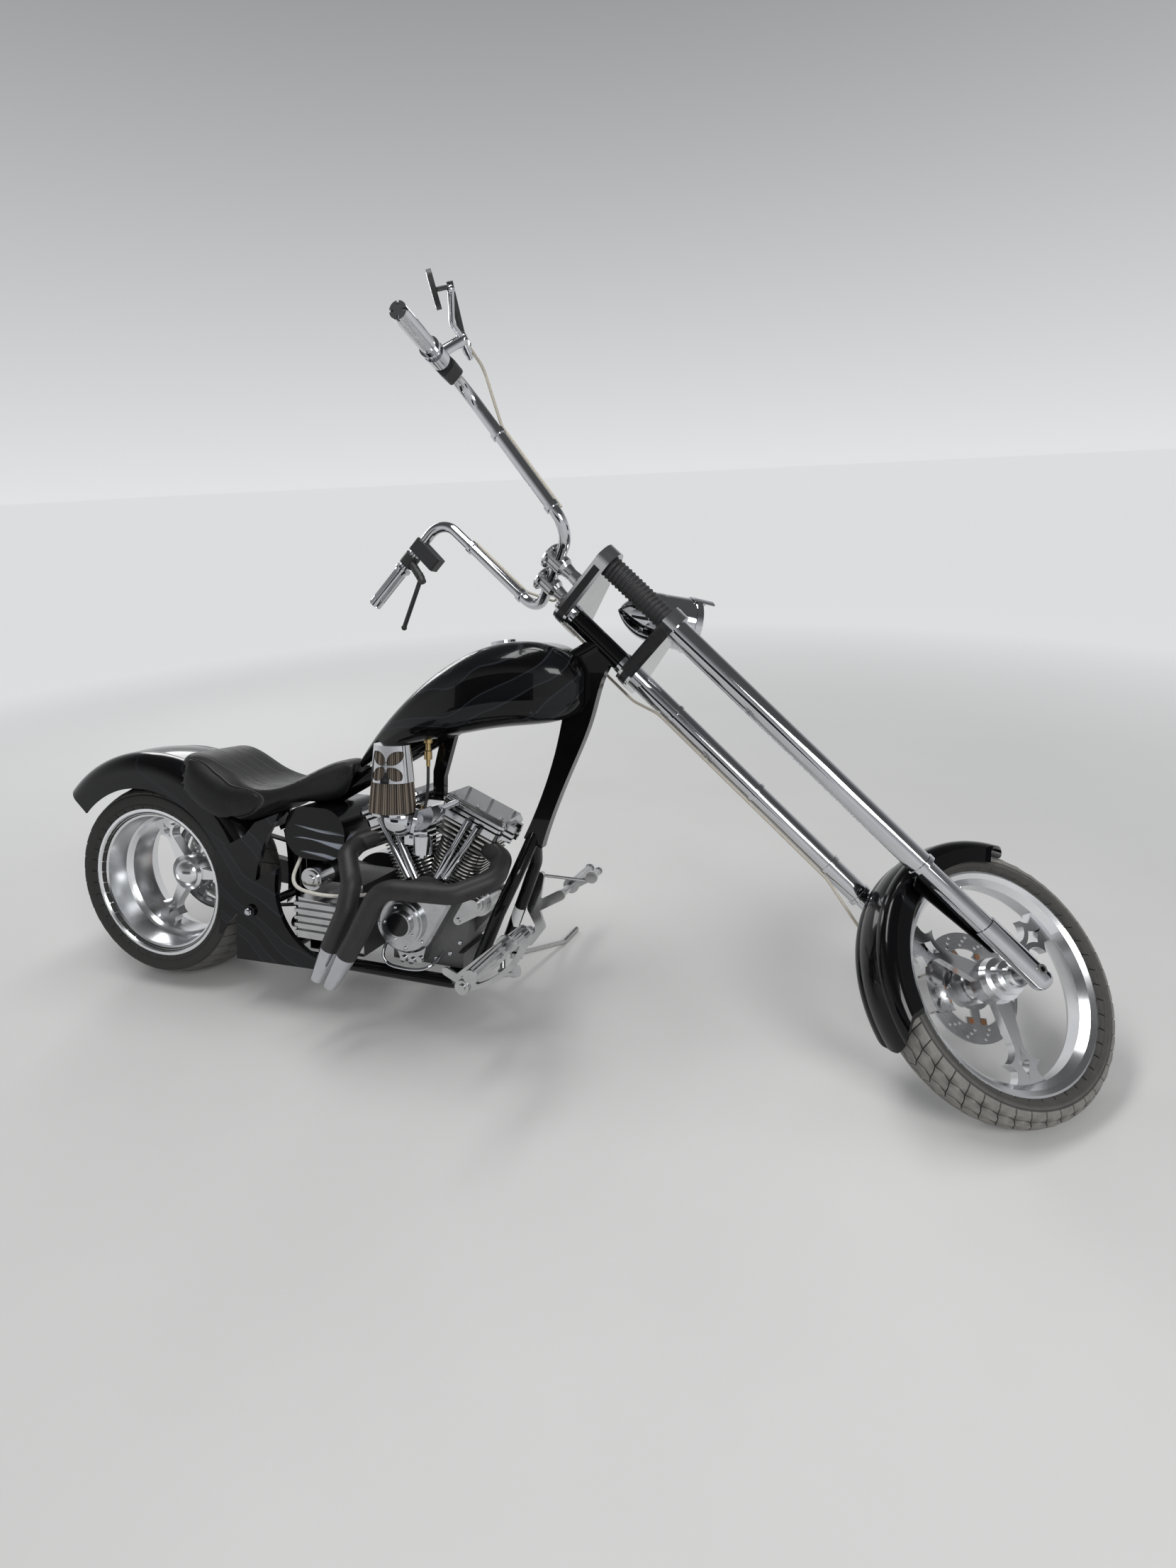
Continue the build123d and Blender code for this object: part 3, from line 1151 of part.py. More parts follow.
def brake_lever():
    # With the master cylinder along the bar and its adjuster
    body = lever(-1, Vector(92, 354, 2054), Vector(42, 484, 2069), Vector(58, 398, 2066))
    cylinder_body = stepped((84, -362, 2054), (0.42, 0.86, -0.28), ((0, 44, 11), (44, 60, 8)))
    adjuster = rod((84, -352, 2060), (112, -334, 2050), 8)
    return body.fuse(cylinder_body, adjuster) - mirror(bar_hole(), about=Plane.XZ)


def clutch_lever():
    return lever(1, Vector(-46, 346, 1950), Vector(-140, 480, 1905), Vector(-75, 380, 1935))


def side_mirror():
    # An oval glass in a shallow case, on a tapering stem from the brake lever's perch
    facing = Vector(-0.793, 0.373, 0.483)
    head = Plane(origin=(22, -468, 2100), x_dir=(0.296, 0.861, -0.18), z_dir=facing).location * extrude(
        Ellipse(44, 31), 6, both=True)
    stem = rod((100, -348, 2062), (103, -445, 2132), 8) + rod((102, -437, 2126), (28, -466, 2101), 5)
    return head + stem - brake_lever()


def switch_boxes():
    # Black housings on the bar, inboard of the levers: a flat block on the right, a deep one on the left
    outward = grip_line()[1]
    pieces = []
    for side, drop, depth in ((-1, 5, 48), (1, 33, 104)):
        middle = bar_point(GRIP_LENGTH + 88)
        place = Plane(origin=middle, x_dir=(0, 0, 1), z_dir=outward).location
        block = place * Pos(-drop, 0, 0) * extrude(RectangleRounded(depth, 46, 8), 22, both=True) - bar_hole()
        pieces.append(block if side > 0 else mirror(block, about=Plane.XZ) - brake_lever())
    return Compound(pieces)


def hoses():
    # The front brake's hose down the left leg, and the lines held along the bars
    behind = TREE_OFFSET - COVER_DIAMETER / 2 - BAND_THICKNESS - HOSE_RADIUS - 0.1
    leg = bent_tube([(74, LEG_Y + 24, TOP_TREE_BOTTOM), (74, LEG_Y + 24, 1400), (60, LEG_Y + 40, 1330),
                     (60, LEG_Y + 40, 1190), (behind, LEG_Y, 1110), (behind, LEG_Y, HOSE_BANDS[-1] - 20),
                     (20, LEG_Y - 5, 330), (-14, LEG_Y - 15, 230), (0, 96, 140)],
                    [40, 60, 60, 60, 60, 60, 60], HOSE_RADIUS) - front_caliper()
    low, high = Vector(*BAR_POINTS[1]), Vector(*BAR_POINTS[2])
    run = (high - low).normalized()
    ahead = (Vector(1, 0, 0) - run * run.X).normalized() * (BAR_DIAMETER / 2 + 4 + HOSE_RADIUS + 0.1)
    lower_band, upper_band = [low + (high - low) * share + ahead for share in BAR_BANDS]
    right = bent_tube([lower_band - run * 12, upper_band + run * 16, Vector(146, 282, 2022), Vector(108, 337, 2052)],
                      [60, 40], HOSE_RADIUS)
    right = mirror(right, about=Plane.XZ) - brake_lever()
    left = bent_tube([Vector(RISER_X + 20, RISER_Y + 14, TOP_TREE_TOP + 66), Vector(RISER_X + 40, 140, 1560),
                      lower_band, upper_band + run * 16], [30, 50], HOSE_RADIUS) - risers()
    return Compound([leg, right, left - bar_tube()])


def headlight():
    # A bullet shell that points level ahead, with a visor, on a stalk from the lower tree
    with BuildSketch() as profile:
        with BuildLine():
            ThreePointArc((-145, 0), (-104, 46), (-20, 70))
            Polyline((-20, 70), (60, 75), (60, 79), (76, 79), (76, 74), (80, 74), (92, 0), (-145, 0))
        make_face()
    place = Pos(215, 0, 1275) * Rot(Y=RAKE)
    shell = revolve(profile.sketch, Axis.X)
    hood = Pos(84, 0, 0) * Rot(Y=90) * (Cylinder(79, 60) - Cylinder(76, 80)) & Pos(84, 0, 75) * Box(120, 200, 100)
    stalk = rod((TREE_OFFSET, 0, LOWER_TREE_Z + 4), (200, 0, LOWER_TREE_Z + 14), 13)
    return place * (shell + hood) + stalk - lower_tree()


def front_caliper():
    # Four lobes straddling the disc behind the left leg, with the bracket that carries them
    low, high = FRONT_DISC_Y - DISC_THICKNESS / 2 - 5, FRONT_DISC_Y + DISC_THICKNESS / 2 + 5
    inside, outside = low - 18, high + 14
    body = ring(158, 106, inside, outside) & (Rot(Y=-CALIPER_ANGLE) * Pos(130, high, 0) * Box(140, 120, 126))
    pieces = []
    for turn in (-22, -8, 8, 22):
        spot = Rot(Y=-CALIPER_ANGLE - turn) * Pos(128, 0, 0)
        pieces.append(spot * rod((0, inside - 6, 0), (0, outside + 6, 0), 17))
    body = body.fuse(*pieces) - ring(DISC_RADIUS + 6, 60, low, high)
    clear_of_stay = high + 5.2
    bracket = across(hull((24, 96, 20), (0, 60, 14), (-68, 92, 16), (-80, 60, 14)), clear_of_stay, LEG_Y - 20)
    stay_feet = [rod((0, 0, height), (0, LEG_Y, height), STAY_FOOT_RADIUS + 0.1) for height in STAY_FEET]
    return Pos(TREE_OFFSET, 0, 0) * ((body + bracket) - stay_feet) - fork_leg_left()


# Side stand: a rod from its pivot to a bent foot that lies on the ground

def stand_points():
    up = PARKED.inverse()
    height = STAND_ROD_DIAMETER / 2
    elbow = (up * Pos(STAND_ELBOW[0] - ORIGIN_X, STAND_ELBOW[1] - ORIGIN_Y, height)).position
    tip = (up * Pos(STAND_TIP[0] - ORIGIN_X, STAND_TIP[1] - ORIGIN_Y, height)).position
    return Vector(*STAND_PIVOT), elbow, tip


def stand_axis():
    return Vector(0, sin(radians(STAND_AXIS_TILT)), cos(radians(STAND_AXIS_TILT)))


def side_stand():
    pivot, elbow, tip = stand_points()
    leg = bent_tube([pivot, elbow, tip], 40.0, STAND_ROD_DIAMETER / 2)
    half = stand_axis() * (STAND_EYE_HEIGHT / 2)
    eye = rod(pivot - half, pivot + half, STAND_EYE_RADIUS)
    bore = rod(pivot - half * 3, pivot + half * 3, STAND_PIN_RADIUS + RUNNING_FIT)
    return (leg + eye) - bore


def stand_lug():
    # A lug above the eye with the pin through the eye
    pivot = stand_points()[0]
    seat_plane = Plane(origin=pivot, x_dir=(1, 0, 0), z_dir=stand_axis()).location
    low, high = STAND_EYE_HEIGHT / 2 + SEAT_GAP, STAND_EYE_HEIGHT / 2 + SEAT_GAP + STAND_LUG_THICKNESS
    pin = rod((0, 0, -STAND_EYE_HEIGHT / 2 - 5), (0, 0, high), STAND_PIN_RADIUS)
    reach = pivot.Y - RAIL_Y
    lug = Pos(0, 0, (low + high) / 2) * Cylinder(STAND_EYE_RADIUS, high - low)
    arm = Pos(0, -reach / 2, (low + high) / 2) * Box(2 * STAND_EYE_RADIUS, reach, high - low)
    return seat_plane * (pin + lug + arm)


# Which body each piece belongs to, and how it is placed

REAR_WHEEL = PARKED * Pos(REAR_AXLE)
FORK_FRAME = PARKED * TURN * FORK
FRONT_WHEEL = PARKED * TURN * Pos(FRONT_AXLE)

PIECES = (
    (PARKED, (main_frame, bearing_cups, cradle, seat_tube, side_panel_right, side_panel_left, swingarm,
              rear_caliper, rear_fender, fuel_tank, tank_cap, seat, oil_tank, crankcase, cylinder_front,
              cylinder_rear, rocker_box_front, rocker_box_rear, pushrod_tubes, cam_cover, regulator, air_elbow,
              air_filter, filter_cap, exhaust_front, exhaust_rear, exhaust_tips, transmission, primary_drive, drive_belt, right_control,
              left_control, side_stand)),
    (REAR_WHEEL, (rear_wheel, rear_tyre, rear_disc, rear_pulley, rear_spindle)),
    (FRONT_WHEEL, (front_wheel, front_tyre, front_disc, front_fender)),
    (FORK_FRAME, (lower_tree, top_tree, fork_leg_right, fork_leg_left, fork_covers, upper_covers, front_axle, handlebar,
                  grips, risers, headlight, front_caliper, brake_lever, clutch_lever, side_mirror, switch_boxes,
                  hoses)),
)

for place, builders in PIECES:
    for builder in builders:
        shape = place * builder()
        export_step(shape, f"parts/{builder.__name__}.step")
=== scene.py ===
import json
import math
from types import SimpleNamespace

import bmesh
import bpy
from mathutils import Matrix, Vector


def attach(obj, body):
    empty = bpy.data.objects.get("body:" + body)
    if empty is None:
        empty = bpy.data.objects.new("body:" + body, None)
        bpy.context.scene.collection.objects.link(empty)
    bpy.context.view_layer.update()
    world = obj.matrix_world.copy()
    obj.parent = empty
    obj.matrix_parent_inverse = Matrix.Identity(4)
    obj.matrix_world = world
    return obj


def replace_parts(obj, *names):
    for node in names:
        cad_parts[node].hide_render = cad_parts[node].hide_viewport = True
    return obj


# Chopper motorcycle, leaned on its side stand with the steering hard to the left. Values are in
# metres, apart from those that spot, turned, cap_bolt, bolt_circle, pipe and tyre take, in
# millimetres.
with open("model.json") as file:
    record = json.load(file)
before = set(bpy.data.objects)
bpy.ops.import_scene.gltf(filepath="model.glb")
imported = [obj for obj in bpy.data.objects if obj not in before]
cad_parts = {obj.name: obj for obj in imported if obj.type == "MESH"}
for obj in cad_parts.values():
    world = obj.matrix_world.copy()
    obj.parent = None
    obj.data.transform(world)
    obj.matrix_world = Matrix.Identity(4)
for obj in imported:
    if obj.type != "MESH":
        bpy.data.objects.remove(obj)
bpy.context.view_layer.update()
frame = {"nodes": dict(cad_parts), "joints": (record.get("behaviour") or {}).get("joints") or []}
nodes = frame["nodes"]
joints = {joint["name"]: joint for joint in frame["joints"]}
scene = bpy.context.scene

# Camera: where the photographer stood, a step back on the right-hand side, looking down at the
# engine through a wide lens. The film's longer side stands upright, and is 36 mm.
EYE = (0.7912, -1.7962, 1.5342)
HEADING, LOOK_DOWN, TILT = math.radians(17.91), math.radians(22.27), math.radians(2.84)
FOCAL_PIXELS, PICTURE_HEIGHT = 1080.7, 2212
FILM_HEIGHT = 36

photographer = bpy.data.cameras.new("photographer")
photographer.lens = FOCAL_PIXELS * FILM_HEIGHT / PICTURE_HEIGHT
camera = bpy.data.objects.new("photographer", photographer)
scene.collection.objects.link(camera)
level = Matrix(((1, 0, 0), (0, 0, -1), (0, 1, 0)))
turned_by = (Matrix.Rotation(HEADING, 3, "Z") @ Matrix.Rotation(-LOOK_DOWN, 3, "X")
             @ Matrix.Rotation(TILT, 3, "Y"))
camera.matrix_world = Matrix.Translation(EYE) @ (turned_by @ level).to_4x4()
scene.camera = camera
scene.view_settings.view_transform = "Standard"


# Floor: one wide sheet of pale studio floor with a faint mottle, that fades into the backdrop.
# The materials' tools are first needed here.
class Field:
    """A value that varies over a surface; maths on it adds the nodes."""

    def __init__(self, finish, socket):
        self.finish, self.socket = finish, socket

    def math(self, operation, *others):
        return self.finish.add("ShaderNodeMath", {"operation": operation}, dict(enumerate((self, *others))))

    def __add__(self, other):
        return self.math("ADD", other)

    def __sub__(self, other):
        return self.math("SUBTRACT", other)

    def __rsub__(self, other):
        return self.finish.add("ShaderNodeMath", {"operation": "SUBTRACT"}, {0: other, 1: self})

    def __mul__(self, other):
        return self.math("MULTIPLY", other)

    def __truediv__(self, other):
        return self.math("DIVIDE", other)

    def __pow__(self, other):
        return self.math("POWER", other)

    def __gt__(self, other):
        return self.math("GREATER_THAN", other)

    def __lt__(self, other):
        return self.math("LESS_THAN", other)

    def __abs__(self):
        return self.math("ABSOLUTE")

    def limited(self):
        return self.math("MAXIMUM", 0.0).math("MINIMUM", 1.0)

    def between(self, low, high):
        return (self > low) * (self < high)

    def ridges(self, pitch):
        """Rises from 0 to 1 and falls back to 0 over twice the pitch."""
        return self.math("PINGPONG", pitch) / pitch

    __radd__ = __add__


def distance(x, y):
    return (x * x + y * y).math("SQRT")


class Finish:
    """One material, and the one way to add any node to it."""

    def __init__(self, name, **fixed):
        self.material = bpy.data.materials.new(name)
        self.material.use_nodes = True
        self.tree = self.material.node_tree
        self.shader = self.tree.nodes["Principled BSDF"]
        self.surface(**fixed)

    def feed(self, node, inputs):
        for key, value in inputs.items():
            if isinstance(value, Field):
                self.tree.links.new(value.socket, node.inputs[key])
            else:
                node.inputs[key].default_value = value

    def add(self, kind, settings, inputs, output=0):
        node = self.tree.nodes.new(kind)
        for key, value in settings.items():
            setattr(node, key, value)
        self.feed(node, inputs)
        return Field(self, node.outputs[output])

    def place(self, axes):
        """Object coordinates, measured along a set of axes."""
        where = self.add("ShaderNodeTexCoord", {}, {}, "Object")
        return self.add("ShaderNodeMapping", {"vector_type": "TEXTURE"}, {
            "Vector": where, "Location": axes.to_translation(), "Rotation": axes.to_euler()})

    def along(self, axes):
        """The same as three numbers, in metres."""
        split = self.add("ShaderNodeSeparateXYZ", {}, {"Vector": self.place(axes)}).socket.node
        return [Field(self, output) for output in split.outputs]

    def facing(self, direction):
        """How far the surface faces a direction, from -1 to 1."""
        normal = self.add("ShaderNodeTexCoord", {}, {}, "Normal")
        return self.add("ShaderNodeVectorMath", {"operation": "DOT_PRODUCT"}, {0: normal, 1: direction},
                        "Value")

    def noise(self, axes, scale, detail, roughness=0.5):
        return self.add("ShaderNodeTexNoise", {}, {
            "Vector": self.place(axes), "Scale": scale, "Detail": detail, "Roughness": roughness})

    def cells(self, axes, scale):
        return self.add("ShaderNodeTexVoronoi", {}, {"Vector": self.place(axes), "Scale": scale})

    def mix(self, share, first, second):
        """The first colour where the share is 0, and the second where it is 1."""
        first, second = (value if isinstance(value, Field) else (*value, 1) for value in (first, second))
        return self.add("ShaderNodeMix", {"data_type": "RGBA"}, {0: share, 6: first, 7: second}, 2)

    def relief(self, height, depth, strength=1.0):
        return self.add("ShaderNodeBump", {}, {"Height": height, "Distance": depth, "Strength": strength})

    def surface(self, **inputs):
        self.feed(self.shader, {key.replace("_", " "): value for key, value in inputs.items()})

    def on(self, *pieces):
        for piece in pieces:
            piece = nodes[piece] if isinstance(piece, str) else piece
            piece.data.materials.clear()
            piece.data.materials.append(self.material)


ROOM = Matrix.Identity(4)
FLOOR_WIDTH = 400
PLAIN_RADIUS, FADE = 1.8, 4.5
floor_finish = Finish("pale_floor", Roughness=0.7, Specular_IOR_Level=0.2, Emission_Strength=1.0)
mottle = floor_finish.noise(ROOM, 1.3, 5.0)
x, y, _ = floor_finish.along(ROOM)
far = ((distance(x, y) - PLAIN_RADIUS) / FADE).limited()
in_picture = floor_finish.add("ShaderNodeLightPath", {}, {}, "Is Camera Ray")
in_metal = floor_finish.add("ShaderNodeLightPath", {}, {}, "Is Glossy Ray")
seen = in_picture.math("MAXIMUM", in_metal)
painted = floor_finish.mix(mottle, (0.60, 0.60, 0.59), (0.67, 0.67, 0.66))
floor_finish.surface(Base_Color=floor_finish.mix(far, painted, (0.2, 0.2, 0.2)),
                     Emission_Color=floor_finish.mix(far * seen, (0.0, 0.0, 0.0), (0.62, 0.625, 0.63)))
bpy.ops.object.select_all(action="DESELECT")
bpy.ops.mesh.primitive_plane_add(size=FLOOR_WIDTH)
floor = bpy.context.object
floor.name = "floor"
floor_finish.on(floor)

# Backdrop and lamps: a pale surround that grows greyer overhead, which gives the bright metal
# its depth, and three soft lamps at a plain level.
LOW_BACKDROP, HIGH_BACKDROP, HIGH = 0.78, 0.10, 0.62
PLAIN_LEVEL = 0.40
world = bpy.data.worlds.new("studio")
world.use_nodes = True
scene.world = world
sky = world.node_tree.nodes["Background"]
light_path, direction, split, backdrop, seen, brightness = (
    world.node_tree.nodes.new("ShaderNode" + kind)
    for kind in ("LightPath", "TexCoord", "SeparateXYZ", "MapRange", "Math", "Mix"))
seen.operation = "MAXIMUM"
for node, key, value in (
        (backdrop, "From Max", HIGH), (backdrop, "To Min", LOW_BACKDROP),
        (backdrop, "To Max", HIGH_BACKDROP), (brightness, 2, PLAIN_LEVEL),
        (sky, "Color", (0.97, 0.98, 1.0, 1))):
    node.inputs[key].default_value = value
for start, output, end, key in (
        (direction, "Generated", split, 0), (split, "Z", backdrop, "Value"),
        (light_path, "Is Camera Ray", seen, 0), (light_path, "Is Glossy Ray", seen, 1),
        (seen, 0, brightness, 0), (backdrop, 0, brightness, 3), (brightness, 0, sky, "Strength")):
    world.node_tree.links.new(start.outputs[output], end.inputs[key])

# Columns: name, place, the place it is aimed at, width, length, watts
for name, place, aim, width, length, watts in (
        ("window_light", (3.0, -3.0, 3.2), (0.1, 0.0, 0.6), 2.2, 1.4, 90),
        ("ceiling_light", (-0.6, 0.2, 4.4), (-0.1, 0.0, 0.5), 3.4, 0.9, 85),
        ("back_light", (-3.4, 2.8, 2.4), (0.0, 0.0, 0.7), 2.0, 1.2, 40)):
    light = bpy.data.lights.new(name, "AREA")
    light.shape, light.size, light.size_y, light.energy = "RECTANGLE", width, length, watts
    holder = bpy.data.objects.new(name, light)
    scene.collection.objects.link(holder)
    holder.location = place
    holder.rotation_euler = (Vector(aim) - Vector(place)).to_track_quat("-Z", "Y").to_euler()

# Black flags: two dark cards, one behind the photographer and one ahead of the machine, that give
# the bright metal something dark to reflect, as a metal shop's studio does.
flag_cloth = Finish("black_flag", Roughness=0.9)
nap = flag_cloth.noise(ROOM, 40.0, 3.0)
flag_cloth.surface(Base_Color=flag_cloth.mix(nap, (0.008, 0.008, 0.009), (0.016, 0.016, 0.018)))
upright = Matrix.Rotation(math.radians(90), 4, "X")
# Columns: name, middle, heading in degrees, width, height
for name, middle, heading, width, height in (("flag_right", (-1.4, -4.2, 1.25), 0, 4.0, 1.3),
                                             ("flag_ahead", (4.6, 1.4, 1.3), 90, 2.4, 1.2)):
    bpy.ops.object.select_all(action="DESELECT")
    bpy.ops.mesh.primitive_plane_add(size=1)
    flag = bpy.context.object
    flag.name = name
    flag.data.transform(Matrix.Translation(middle) @ Matrix.Rotation(math.radians(heading), 4, "Z")
                        @ upright @ Matrix.Diagonal((width, height, 1, 1)))
    flag.visible_camera = flag.visible_diffuse = flag.visible_shadow = False
    flag_cloth.on(flag)

# Frame, swingarm, fenders and tank: welded steel tube and sheet in deep gloss black with ghost
# flames, faint grey licks that taper backwards under the clear coat. The axes of the bike, its
# fork and its wheels are worked out here from the joints.
RAKE = math.radians(49.3)
TREE_OFFSET, REAR_RADIUS = 0.098, 0.330


def axes(origin, ahead, sideways, upright):
    return Matrix.Translation(origin) @ Matrix((ahead, sideways, upright)).transposed().to_4x4()


def joint_axis(name):
    return Vector(joints[name]["axis"]).normalized()


steering, front_axle, rear_axle = (
    joint_axis(name) for name in ("steering", "front_wheel_spin", "rear_wheel_spin"))
front_middle = Vector(joints["front_wheel_spin"]["pos_m"])
rear_middle = Vector(joints["rear_wheel_spin"]["pos_m"])
fork_ahead = front_axle.cross(steering)
fork_axes = axes(front_middle - fork_ahead * TREE_OFFSET, fork_ahead, front_axle, steering)
front_wheel_axes = axes(front_middle, fork_ahead * math.cos(RAKE) - steering * math.sin(RAKE), front_axle,
                        fork_ahead * math.sin(RAKE) + steering * math.cos(RAKE))
square = rear_axle.cross(steering)
bike_up = square * math.sin(RAKE) + steering * math.cos(RAKE)
bike_ahead = square * math.cos(RAKE) - steering * math.sin(RAKE)
rear_wheel_axes = axes(rear_middle, bike_ahead, rear_axle, bike_up)
bike_axes = axes(rear_middle - bike_up * REAR_RADIUS, bike_ahead, rear_axle, bike_up)


def spot(x, y, z, turn=0.0, about="Y", on=bike_axes):
    """A place in millimetres along a set of axes, turned in degrees."""
    return on @ Matrix.Translation(Vector((x, y, z)) / 1000) @ Matrix.Rotation(math.radians(turn), 4, about)


def licks(finish, on, back, front, gap, seed, share):
    """Flame licks along a set of axes: full width at the front, drawn out to points at the back."""
    soft_edge = 0.0022
    x, y, z = finish.along(on)
    sway = finish.noise(on @ Matrix.Translation((seed, 0, 0)), 4.0, 1.0) - 0.5
    reach = finish.noise(on @ Matrix.Translation((seed, 1, 0)), 9.0, 1.0) - 0.5
    row = (z + abs(y) * 0.3 + sway * 0.16).math("PINGPONG", gap)
    width = ((x - back + reach * 0.25) / (front - back)).limited() * gap * share
    return ((width - row) / soft_edge).limited()


CLEAR_COAT = {"Specular_IOR_Level": 0.12, "Coat_Weight": 0.5, "Coat_Roughness": 0.02, "Coat_IOR": 1.4}
for name, on, painted in (
        ("ghost_flame_black", spot(1030, 0, 890, -23), ("fuel_tank",)),
        ("side_flame_black", spot(330, 0, 420, 35),
         ("side_panel_right", "side_panel_left", "rear_fender", "swingarm")),
        ("frame_black", None, ("main_frame", "cradle", "seat_tube", "front_fender"))):
    black = Finish(name, **CLEAR_COAT)
    dust = black.noise(ROOM, 60.0, 6.0, 0.7)
    shade = black.mix(dust, (0.0012, 0.0012, 0.0015), (0.0035, 0.0035, 0.0042))
    if on is not None:
        inner, outer = (licks(black, on, back=-0.52, front=0.36, gap=0.050, seed=3.0, share=share)
                        for share in (0.50, 0.58))
        filled = black.mix(inner * 0.6, shade, (0.008, 0.009, 0.011))
        shade = black.mix((outer - inner) * 0.9, filled, (0.022, 0.025, 0.030))
    black.surface(Base_Color=shade, Roughness=0.12 + dust * 0.12)
    black.on(*painted)

# Oil drum: a rounded steel tank behind the engine, painted with the frame, with three pale
# flame streaks on its side.
STREAKS_LOW, STREAKS_HIGH, STREAKS_FADE = -0.072, 0.022, 0.012
drum_axes = spot(612, 0, 560, 8)
drum_paint = Finish("flamed_drum", **CLEAR_COAT)
streaks = licks(drum_paint, drum_axes, back=-0.09, front=0.12, gap=0.017, seed=9.0, share=0.52)
_, _, z = drum_paint.along(drum_axes)
below_the_top = ((STREAKS_HIGH - z) / STREAKS_FADE).limited()
above_the_foot = ((z - STREAKS_LOW) / STREAKS_FADE).limited()
streaks = streaks * below_the_top * above_the_foot
dust = drum_paint.noise(ROOM, 60.0, 6.0, 0.7)
drum_paint.surface(Base_Color=drum_paint.mix(streaks * 0.9, (0.0025, 0.0025, 0.003), (0.30, 0.33, 0.38)),
                   Roughness=0.16 + dust * 0.12)
drum_paint.on("oil_tank")

# Crankcase and cylinders: cast alloy, dark satin, with the fins' edges machined bare. The rear
# caliper has the same casting.
CRANK_X, CRANK_Z, HALF_OF_V = 970, 330, 22.5
FIN_HALF_LENGTH, FIN_HALF_WIDTH = 0.075, 0.072
EDGE_FROM, SHADE_FROM, SHADE_REACH = 0.84, 0.35, 0.8
front_cylinder = spot(CRANK_X, 0, CRANK_Z, HALF_OF_V)
rear_cylinder = spot(CRANK_X, 0, CRANK_Z, -HALF_OF_V)
casting = Finish("dark_casting", Metallic=0.75)
grain = casting.noise(ROOM, 420.0, 3.0)
casting.surface(Base_Color=casting.mix(grain, (0.085, 0.085, 0.087), (0.21, 0.21, 0.212)),
                Roughness=0.30 + grain * 0.25, Normal=casting.relief(grain, 0.0006, 0.4))
casting.on("crankcase", "rear_caliper")
for end, on in (("front", front_cylinder), ("rear", rear_cylinder)):
    fins = Finish("machined_fins_" + end)
    x, y, _ = fins.along(on)
    outline = (x / FIN_HALF_LENGTH) ** 4 + (y / FIN_HALF_WIDTH) ** 4
    edge = (outline > EDGE_FROM) * (abs(fins.facing(on.to_3x3().col[2])) < 0.5)
    grain = fins.noise(ROOM, 420.0, 3.0)
    # Painted shade: the fins' colour darkens from grey near their outer edges to near black deep in towards
    # the barrel.
    painted_fin_shade = fins.mix(((outline - SHADE_FROM) / SHADE_REACH).limited(),
                    (0.014, 0.014, 0.015), (0.24, 0.235, 0.225))
    machined = fins.mix(grain, (0.56, 0.55, 0.53), (0.76, 0.75, 0.73))
    fins.surface(Base_Color=fins.mix(edge, painted_fin_shade, machined), Metallic=0.35 + edge * 0.65,
                 Roughness=0.50 - edge * 0.32 + grain * 0.06)
    fins.on("cylinder_" + end)

# Rocker boxes: stacked alloy plates, bright and black by turns, under a cover with fine grooves
# along its length, held by six cap bolts. The crankcase's bolts are of the same kind.
BLACK_PLATES = ((0.332, 0.339), (0.348, 0.355))
GROOVES_FROM, GROOVE_PITCH = 0.356, 0.0021
ROCKER_TOP = 376
for end, on in (("front", front_cylinder), ("rear", rear_cylinder)):
    stack = Finish("stacked_plates_" + end)
    _, y, z = stack.along(on)
    dark = z.between(*BLACK_PLATES[0]) + z.between(*BLACK_PLATES[1])
    smear = stack.noise(ROOM, 30.0, 4.0)
    bright = stack.mix(smear, (0.56, 0.57, 0.58), (0.70, 0.70, 0.71))
    stack.surface(Base_Color=stack.mix(dark, bright, (0.012, 0.012, 0.013)), Metallic=1 - dark * 0.8,
                  Roughness=0.09 + smear * 0.08 + dark * 0.30,
                  Normal=stack.relief(y.ridges(GROOVE_PITCH) * (z > GROOVES_FROM), 0.0012, 0.55))
    stack.on("rocker_box_" + end)


def turned(name, rings, sides):
    """A turned piece on its own Z, drawn out of one round face: (radius, height) in millimetres."""
    bpy.ops.object.select_all(action="DESELECT")
    (radius, height), *rest = [(wide / 1000, tall / 1000) for wide, tall in rings]
    bpy.ops.mesh.primitive_circle_add(vertices=sides, radius=radius, fill_type="NGON")
    piece = bpy.context.object
    piece.name = name
    bpy.ops.object.mode_set(mode="EDIT")
    bpy.ops.mesh.select_all(action="SELECT")
    bpy.ops.transform.translate(value=(0, 0, height))
    for wide, tall in rest:
        bpy.ops.mesh.extrude_region_move(TRANSFORM_OT_translate={"value": (0, 0, tall - height)})
        bpy.ops.transform.resize(value=(wide / radius, wide / radius, 1), center_override=(0, 0, tall))
        radius, height = wide, tall
    bpy.ops.mesh.select_all(action="SELECT")
    bpy.ops.mesh.normals_make_consistent(inside=False)
    bpy.ops.object.mode_set(mode="OBJECT")
    bpy.ops.object.shade_smooth_by_angle(angle=math.radians(40))
    return piece


def repeated(model, places):
    """The modelled piece copied to each place, and the copies joined into one."""
    name, copies = model.name, []
    for place in places:
        copy = model.copy()
        copy.data = model.data.copy()
        copy.data.transform(place)
        scene.collection.objects.link(copy)
        copies.append(copy)
    bpy.data.objects.remove(model)
    bpy.ops.object.select_all(action="DESELECT")
    for copy in copies:
        copy.select_set(True)
    bpy.context.view_layer.objects.active = copies[0]
    bpy.ops.object.join()
    copies[0].name = name
    return copies[0]


def cap_bolt(name, radius, height):
    """A round head with a rounded rim and a sunk drive, its foot 2 mm below the face."""
    return turned(name, ((radius, -2), (radius, height - 0.8), (radius - 0.8, height),
                         (radius * 0.58, height), (radius * 0.52, height * 0.35)), 12)


